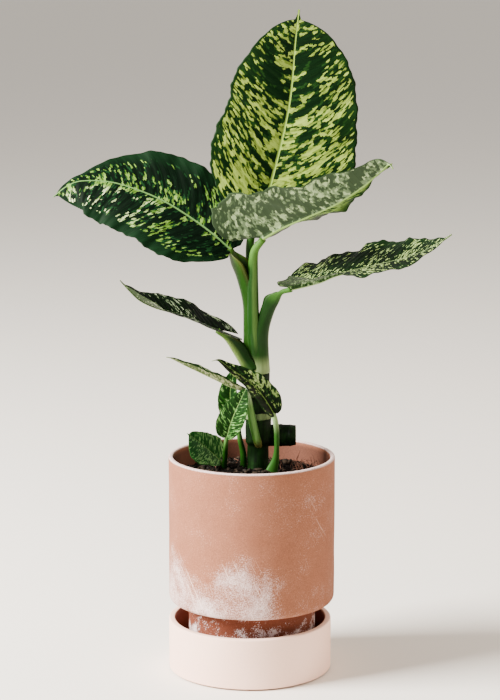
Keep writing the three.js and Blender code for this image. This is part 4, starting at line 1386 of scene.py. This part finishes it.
def blade_half(leaf, rib, u, t, side_name):
    """Points of one half's middle surface, with the numbers that its finish reads."""
    side = -1 if side_name == "left" else 1
    height, count, phase = leaf["waves"]
    start = -leaf["lobe"] + 0.002 * (1 + leaf["lobe"])
    margin = start + (1 - start) * u + leaf["lean"] * np.sin(np.pi * u)
    along = u + (margin - u) * t ** 1.4
    share = breadth(leaf, np.minimum((margin + leaf["lobe"]) / (1 + leaf["lobe"]), 0.9985))
    share = np.maximum(share, TIP_SHARE)
    depth, count_nicks = leaf.get("nicks", USUAL_NICKS)
    nicks = np.sin(2 * np.pi * count_nicks * margin + side) + 0.6 * np.sin(
        2 * np.pi * 2.3 * count_nicks * margin + 2 * side)
    share = share * (1 + depth * nicks * t ** 4)
    out = t * share * between(leaf["half"][side_name], along)
    direction = rib.direction(along)
    face = square_to(direction, between_points(leaf["face"], along))
    across = np.cross(direction, face) * side
    fold = np.radians(between(leaf["fold"][side_name], along))
    bend = np.radians(between(leaf["curl"][side_name], along)) * t + 1e-5
    level = out * (np.sin(fold + bend) - np.sin(fold)) / bend
    raised = out * (np.cos(fold) - np.cos(fold + bend)) / bend
    turns = count * margin + phase + (0.37 if side > 0 else 0)
    wave = height * t ** 2 * share * np.sin(2 * np.pi * turns)
    ripple = RIPPLE[0] * height * t ** 3 * share * np.sin(
        2 * np.pi * (RIPPLE[1] * turns + 0.2 * side))
    points = (rib.at(along) + across * level[..., None]
              + face * (raised + wave + ripple)[..., None])
    widest = max(leaf["half"][side_name])
    vein = along * rib.length - out * (VEIN_LEAN[0] + VEIN_LEAN[1] * out / widest)
    place = np.stack([vein, out * side, t + 0 * out], axis=-1)
    return points, place, along


print("vein lean:", VEIN_LEAN)

# %% [markdown]
# ## Leaf blades
#
# The real sheet is half a millimetre thick, bulges a little between the side veins, which gives
# the quilted look, and has a midrib that stands out underneath. A solidify modifier would give it
# thickness but no midrib. So the grid is set off to both faces by amounts that differ from point
# to point. Columns crowd together near the midrib, so that its ridge is round.

# %% Blade mesh
HALF_THICKNESS = 0.27
GROOVE = 0.35  # depth of the groove above the midrib


def blade_mesh(leaf):
    size = SIZES[leaf["size"]]
    rib = Route(leaf["rib"])
    rows, columns = size["rows"], size["columns"]
    even = np.linspace(0, 1, rows + 1)
    u = ((0.55 * even + 0.225 * (1 - np.cos(np.pi * even))) * 0.997)[:, None]
    t = (np.arange(columns + 1) / columns)[None, :] ** 1.25
    left = blade_half(leaf, rib, u, t[:, :0:-1], "left")
    right = blade_half(leaf, rib, u, t, "right")
    grid, place, along = [np.concatenate([a, b], axis=1) for a, b in zip(left, right)]
    share_out = place[..., 2]
    normal = unit(np.cross(np.gradient(grid, axis=1), np.gradient(grid, axis=0)))
    veins = place[..., 0] / rib.length * size["veins"]
    away = np.clip(share_out / 0.12, 0, 1) * (1 - share_out ** 5)
    quilt = size["quilt"] * (np.abs(np.sin(np.pi * veins)) ** 0.8 - 0.6) * away
    quilt *= np.clip(along * 9, 0, 1) * np.clip((1 - along) * 7, 0, 1)
    grid = grid + normal * quilt[..., None]
    rib_width, rib_depth = size["rib"]
    taper = 1 - 0.75 * np.clip(along, 0, 1)
    off_rib = np.abs(place[..., 1]) / (rib_width * 0.62 * taper)
    ridge = rib_depth * taper * np.exp(-off_rib ** 2)
    groove = GROOVE * np.exp(-(off_rib / 1.2) ** 2) * taper
    thickness = HALF_THICKNESS * (1 - 0.55 * share_out ** 6)
    top = grid + normal * (thickness - groove)[..., None]
    under = grid - normal * (thickness + ridge)[..., None]
    width = 2 * columns + 1
    count = (rows + 1) * width
    index = np.arange(count).reshape(rows + 1, width)
    a, b, c, d = index[:-1, :-1], index[:-1, 1:], index[1:, 1:], index[1:, :-1]
    quads = np.stack([a, b, c, d], axis=-1).reshape(-1, 4)
    rim = np.concatenate([index[0], index[1:, -1], index[-1, -2::-1], index[-2:0:-1, 0]])
    ahead = np.roll(rim, -1)
    edge = np.stack([rim, ahead, ahead + count, rim + count], axis=-1)
    faces = np.concatenate([quads, quads + count, edge])
    sides = np.concatenate([np.zeros(len(quads)), np.ones(len(quads)), np.zeros(len(edge))])
    points = np.concatenate([top.reshape(-1, 3), under.reshape(-1, 3)])
    both = np.concatenate([place.reshape(-1, 3)] * 2)
    return points, faces.tolist(), sides.astype(np.int32), both, rib.length


print("points of the largest blade:", len(blade_mesh(LEAVES["upright"])[0]))

# %% [markdown]
# ## Leaf colours
#
# The leaves differ as much as the stalks do: old ones are dark with small grey-green streaks,
# young ones are bright, and the broad left one is bleached towards its tip. One row for all of
# them would make ten copies, so the table holds colours, sizes and shares that were matched leaf
# by leaf. All sizes are in millimetres. Fine streaks are drawn at least 1.1 mm wide, because
# narrower ones would be lost in the picture.

# %% Leaf colours
# dark and mid: tissue that is green, in the middle and near the margin. pale and cream: tissue
# that lacks its green, where a patch is weak and where it is strong. cover: how much of the leaf
# is pale, from -0.13 (little) to 0. fall: what the tip adds to that. streak and spot:
# width and length of the patches near the midrib and near the margin. cell: width and length of
# the steps in their edges. clump: how strongly the patches gather. bare: shares of the half-width
# between which the patches end. gloss: roughness of the upper face. bleached: what the
# cream patches of the left half turn to towards the tip. rib and rib_width: the midrib's line.
# seed: place in the noise. The names that start with under_ are for the under face, under_edge
# for its margin, and those with far_ for its left half, where light shines through.
LEAF_LOOKS = {
    "upright": dict(dark="#041706", mid="#122d0d", pale="#566a22", cream="#8ba143", cover=-0.008,
                    fall=-0.078, clump=0.25, spot=(2.6, 3.4), streak=(5.5, 15), cell=(1.7, 3.2),
                    rib="#86a445", rib_width=2.6, seed=3.0),
    "front": dict(dark="#08190a", mid="#1b3a14", pale="#64803a", cream="#8fa656", cover=-0.035,
                  fall=0.0, streak=(5.5, 9), cell=(1.9, 2.8), clump=0.3, spot=(4.0, 5.0),
                  rib="#7a9850", rib_width=1.5, seed=11.0,
                  under_dark="#2d3c28", under_pale="#5d7150", under_cream="#92a87a",
                  far_dark="#12300c", far_pale="#64803a"),
    "left": dict(dark="#010a03", mid="#0d2c13", pale="#35580f", cream="#6f9040", cover=-0.13,
                 fall=0.07, clump=0.4, streak=(3.0, 9), cell=(1.3, 2.6), bare=(0.76, 0.88),
                 rib="#567a42", rib_width=1.6, seed=21.0, gloss=0.6, bleached="#ccd9a6"),
    "right": dict(dark="#061506", mid="#10290c", pale="#6c8558", cream="#a3bb6b", cover=-0.085,
                  streak=(1.7, 6), cell=(0.85, 2.0), rib="#839a66", rib_width=1.2, seed=35.0,
                  under_dark="#1a2f14", under_pale="#3f5a30", under_cream="#7d9468"),
    "low_left": dict(dark="#020b02", mid="#0b220a", pale="#5d7350", cream="#a3b191", cover=-0.105,
                     streak=(1.6, 6), cell=(0.8, 2.2), rib="#3a4f2a", rib_width=0.9, seed=47.0,
                     under_dark="#233019", under_pale="#5c6b4a", under_cream="#96a183"),
    "folded": dict(dark="#0a1e08", mid="#17330f", pale="#5d7a44", cream="#8aa070", cover=-0.04,
                   streak=(2.0, 5), cell=(0.9, 1.8), rib="#7f9460", rib_width=0.7, seed=55.0,
                   under_dark="#4d5c36", under_pale="#85906a", under_cream="#a5a67e",
                   under_edge="#10270c"),
    "hooked": dict(dark="#020e02", mid="#10300c", pale="#4f6d2a", cream="#8a9f62", cover=-0.08,
                   streak=(4.5, 1.6), cell=(1.6, 0.8), rib="#5c7636", rib_width=0.8, seed=63.0,
                   under_dark="#1d4416", under_pale="#3a6226", under_cream="#6a8a48"),
    "small": dict(dark="#102a0b", mid="#1f4217", pale="#3c6a2e", cream="#6c9a52", cover=-0.045,
                  streak=(1.1, 6), cell=(0.6, 1.8), spot=(1.3, 3.0), rib="#6f9450",
                  rib_width=0.8, seed=71.0),
    "rim": dict(dark="#154a1b", mid="#29642b", pale="#5b9150", cream="#8ab972", cover=-0.03,
                streak=(1.2, 6), cell=(0.6, 1.8), spot=(1.3, 3.0), rib="#64894c",
                rib_width=0.7, seed=83.0),
    "back": dict(dark="#0b2709", mid="#1b4512", pale="#456d30", cream="#7c9c60", cover=-0.09,
                 streak=(3.2, 14), cell=(1.0, 2.4), rib="#5b7c3c", rib_width=0.8, seed=91.0),
}
# What a leaf has where its row doesn't say otherwise.
USUAL_LOOK = dict(fall=-0.03, clump=0.4, spot=(2.3, 3.2), bare=(0.94, 0.985), gloss=0.42,
                  under_dark="#2f3f28", under_pale="#67785a", under_cream="#8c9c7c")
print("leaf colours:", len(LEAF_LOOKS))

# %% [markdown]
# ## Leaf cells
#
# On the real leaf a pale patch stops at the fine veins, so its edge is stepped. Plain noise has
# soft, round edges. So the blade is first divided into small cells, longer along the veins, and
# later each cell takes one value of a noise as a whole. The cells are shaken a little, because a
# regular mosaic would show.

# %% Leaf cells
def flat_noise(tree, vector, size, seed, detail=0.0):
    """Noise on the flat leaf, with blobs of the given width and length in millimetres."""
    placed = add(tree, "ShaderNodeMapping", {
        "Vector": vector, "Scale": (1 / size[0], 1 / size[1], 1), "Location": (0, 0, seed)})
    return add(tree, "ShaderNodeTexNoise", {
        "Vector": placed, "Scale": 1.0, "Detail": detail}).outputs["Color"]


def cells(tree, flat, look):
    """One value and one place for each small cell of the blade."""
    width, long = look["cell"]
    wobble = flat_noise(tree, flat, (1.5, 1.5), look["seed"] + 9, 1.0)
    shaken = add(tree, "ShaderNodeVectorMath", [
        wobble, (1.1 * width, 1.1 * width, 0), flat], operation="MULTIPLY_ADD")
    crowded = add(tree, "ShaderNodeMapping", {
        "Vector": shaken, "Scale": (1 / width, 1 / long, 1)})
    mosaic = add(tree, "ShaderNodeTexVoronoi", {
        "Vector": crowded, "Scale": 1.0}, voronoi_dimensions="2D")
    middle = add(tree, "ShaderNodeMapping", {
        "Vector": mosaic.outputs["Position"], "Scale": (width, long, 1)})
    return add(tree, "ShaderNodeSeparateColor", [mosaic.outputs["Color"]]).outputs[0], middle


print("cells of the upright leaf:", LEAF_LOOKS["upright"]["cell"], "mm")

# %% [markdown]
# ## Leaf patches
#
# The green tissue lacks its green in patches. Near the midrib they are streaks that follow the
# side veins, 5.5 mm wide and 15 mm long on the upright leaf, and towards the margin they break
# up into spots of about 3 mm. A photograph of a leaf could be laid on, but it would be the same
# leaf ten times. So the cells read one noise that is stretched along the veins and one that is
# nearly even, and the second takes over on the way out. Cells above a level become pale, and
# the margin stays green.

# %% Leaf patches
CLUMP_SIZE = (24, 24)  # millimetres over which patches gather or thin out


def patch_level(tree, look, length, flat, along, share_out):
    """How pale the tissue is: a patch is where this is above a level of about a half."""
    single, middle = cells(tree, flat, look)
    streaks = flat_noise(tree, middle, look["streak"], look["seed"], 1.0)
    spots = flat_noise(tree, middle, look["spot"], look["seed"] + 3)
    broad = flat_noise(tree, flat, CLUMP_SIZE, look["seed"] + 5)
    outwards = add(tree, "ShaderNodeMapRange", [share_out, 0.3, 0.8], **SOFT)
    level = add(tree, "ShaderNodeMix", [outwards, streaks, spots])
    bare_margin = add(tree, "ShaderNodeMapRange", [share_out, *look["bare"]], **SOFT)
    tip = add(tree, "ShaderNodeMapRange", [along, length * 0.1, length * 0.9], **SOFT)
    level = weighted(tree, [(broad, look["clump"]), (single, 0.12), (bare_margin, -0.3),
                            (outwards, -0.02), (tip, look["fall"])], level)
    return weighted(tree, [(level, 1.0)], -0.05 - look["clump"] / 2), single


print("streaks of the upright leaf:", LEAF_LOOKS["upright"]["streak"], "mm")

# %% [markdown]
# ## Midrib line
#
# The midrib is a bundle of pale, stiff veins. It is modelled in the mesh as a groove above and a
# ridge below, and its colour could be a material of its own on those faces. But its edge would
# then step with the faces, so a line is drawn by the distance from the rib. It narrows to the tip.

# %% Midrib line
def midrib_line(tree, look, length, along, out):
    """Share of the midrib's pale line."""
    off_rib = add(tree, "ShaderNodeMath", [out], operation="ABSOLUTE")
    half = add(tree, "ShaderNodeMapRange", [
        along, 0.0, length, look["rib_width"] / 2, look["rib_width"] * 0.15])
    beyond = add(tree, "ShaderNodeMath", [off_rib, half], operation="SUBTRACT")
    return add(tree, "ShaderNodeMapRange", [beyond, 0.4, -0.1], **SOFT)


print("midrib of the upright leaf:", LEAF_LOOKS["upright"]["rib_width"], "mm wide")

# %% [markdown]
# ## Upper face
#
# A living leaf, grown under a satin wax film. The wax gives the eye a soft, broad gleam over a
# very dark green, on which the pale patches seem to float. Flat colours would look printed, so a
# patch goes from pale green at its edge to cream in its middle, and fine tissue lines run
# through both.

# %% Upper face
def upper_colour(tree, look, length, level, tissue, single, along, out, share_out):
    edge = 0.5 - look["cover"]
    near_margin = add(tree, "ShaderNodeMapRange", [share_out, 0.6, 1.0, 0.0, 0.4], **SOFT)
    lighter = add(tree, "ShaderNodeMapRange", [tissue, 0.45, 0.8, 0, 0.5], **SOFT)
    deep = add(tree, "ShaderNodeMix", [near_margin, look["dark"], look["mid"]], **COLOUR)
    deep = coated(tree, deep, [(lighter, look["mid"])])
    cream = look["cream"]
    if "bleached" in look:
        below = add(tree, "ShaderNodeMapRange", [out, -3, -9], **SOFT)
        far = add(tree, "ShaderNodeMapRange", [along, length * 0.3, length * 0.55], **SOFT)
        share = add(tree, "ShaderNodeMath", [below, far], operation="MULTIPLY")
        cream = add(tree, "ShaderNodeMix", [share, cream, look["bleached"]], **COLOUR)
    tone = weighted(tree, [(level, 4.5), (tissue, 1.4), (single, 0.45)], -4.5 * edge - 0.75)
    strong = add(tree, "ShaderNodeMapRange", [tone, 0.0, 0.9], **SOFT)
    pale = add(tree, "ShaderNodeMix", [strong, look["pale"], cream], **COLOUR)
    half_green = add(tree, "ShaderNodeMapRange", [level, edge - 0.05, edge - 0.045], **SOFT)
    patch = add(tree, "ShaderNodeMapRange", [level, edge - 0.005, edge + 0.005], **SOFT)
    return coated(tree, deep, [(half_green, look["mid"]), (patch, pale)])


print("upper faces:", len(LEAVES))

# %% [markdown]
# ## Under face
#
# The under face has no thick wax. It gives the eye a greyer, duller green, with the same patches
# in softer edges, because they are seen through the tissue. It could be a darker copy of the
# upper face, but light that shines through the far half of the front leaf turns that half warm
# and green, so both halves can have colours of their own.

# %% Under face
def under_colour(tree, look, level, tissue, out, share_out):
    edge = 0.5 - look["cover"]
    dark = look["under_dark"]
    patch = add(tree, "ShaderNodeMapRange", [level, edge - 0.03, edge + 0.02], **SOFT)
    strong = add(tree, "ShaderNodeMapRange", [level, edge + 0.05, edge + 0.1], **SOFT)
    darker = add(tree, "ShaderNodeMapRange", [tissue, 0.35, 0.8, 0, 0.3], **SOFT)
    colour = add(tree, "ShaderNodeMix", [patch, dark, look["under_pale"]], **COLOUR)
    colour = coated(tree, colour, [(strong, look["under_cream"]), (darker, dark)])
    if "far_dark" in look:
        far_patch = add(tree, "ShaderNodeMapRange", [level, edge - 0.04, edge - 0.02], **SOFT)
        far_edge = add(tree, "ShaderNodeMapRange", [share_out, 0.5, 0.9, 0, 0.9], **SOFT)
        beyond_rib = add(tree, "ShaderNodeMapRange", [out, -1, -2], **SOFT)
        far = add(tree, "ShaderNodeMix", [far_patch, look["far_dark"], look["far_pale"]],
                  **COLOUR)
        far = coated(tree, far, [(far_edge, "#0a2408")])
        colour = coated(tree, colour, [(beyond_rib, far)])
    if "under_edge" in look:
        at_edge = add(tree, "ShaderNodeMapRange", [share_out, 0.74, 0.9], **SOFT)
        colour = coated(tree, colour, [(at_edge, look["under_edge"])])
    return colour


print("leaves with a far half:", [name for name in LEAF_LOOKS if "far_dark" in LEAF_LOOKS[name]])

# %% [markdown]
# ## Leaf skin
#
# Both faces share their pattern, the fine dark line along each side vein, the pale midrib and a
# shallow relief. They could be one material, but the faces differ in gloss, so each leaf has two.
# The finest veins of the tissue are about 0.2 mm wide, and are drawn 0.8 mm wide so that they
# show at all.

# %% Leaf finish
TISSUE = (0.8, 9)  # width and length of the fine tissue lines in millimetres
UNDER_GLOSS = 0.55  # roughness of an under face


def leaf_finish(name, look, length, veins, under):
    kind = "leaf_under_skin" if under else "leaf_wax_skin"
    finish, tree, surface = new_finish(
        f"{kind}_{name}", Roughness=UNDER_GLOSS if under else look["gloss"], IOR=1.42,
        Specular_IOR_Level=0.055)
    place = add(tree, "ShaderNodeAttribute", attribute_name="leaf_place").outputs["Vector"]
    along, out, share_out = add(tree, "ShaderNodeSeparateXYZ", [place]).outputs
    flat = add(tree, "ShaderNodeVectorMath", [place, (1, 1, 0)], operation="MULTIPLY")
    level, single = patch_level(tree, look, length, flat, along, share_out)
    tissue = flat_noise(tree, flat, TISSUE, look["seed"] + 7, 2.0)
    if under:
        colour = under_colour(tree, look, level, tissue, out, share_out)
    else:
        colour = upper_colour(tree, look, length, level, tissue, single, along, out, share_out)
    turn = add(tree, "ShaderNodeMath", [along, veins / length], operation="MULTIPLY")
    vein = add(tree, "ShaderNodeMath", [turn, 0.5], operation="PINGPONG")
    line = add(tree, "ShaderNodeMapRange", [vein, 0.0, 0.06, 0.8, 1.0], **SOFT)
    colour = add(tree, "ShaderNodeMix", [1.0, colour, line], blend_type="MULTIPLY", **COLOUR)
    rib = midrib_line(tree, look, length, along, out)
    colour = coated(tree, colour, [(rib, look["rib"])])
    relief = weighted(tree, [(tissue, 0.4)], vein)
    complete(tree, surface, colour, relief, 0.35, 0.35)
    return finish


print("roughness of an under face:", UNDER_GLOSS)

# %% [markdown]
# ## Ten blades
#
# Each blade could be modelled by itself, but all ten are the same thing in other numbers. So one
# loop makes them: a mesh and a finish for each face, and it hides the solid that the blade stands
# for.

# %% Ten blades
for name, leaf in LEAVES.items():
    points, faces, sides, place, length = blade_mesh(leaf)
    look = {**USUAL_LOOK, **LEAF_LOOKS[name]}
    finishes = [leaf_finish(name, look, length, SIZES[leaf["size"]]["veins"], under)
                for under in (False, True)]
    make_piece(f"{name}_blade_skin", points, faces, finishes, [f"{name}_blade"],
               {"leaf_place": place}, sides)

# %% [markdown]
# ## Pieces and triangles
#
# The skins have to stay inside the box of the solid model. The last cell counts the pieces that
# were made, and their triangles.

# %% Pieces and triangles
total = sum(len(polygon.vertices) - 2 for piece in pieces_made for polygon in piece.data.polygons)
print("pieces:", len(pieces_made), "triangles:", total)
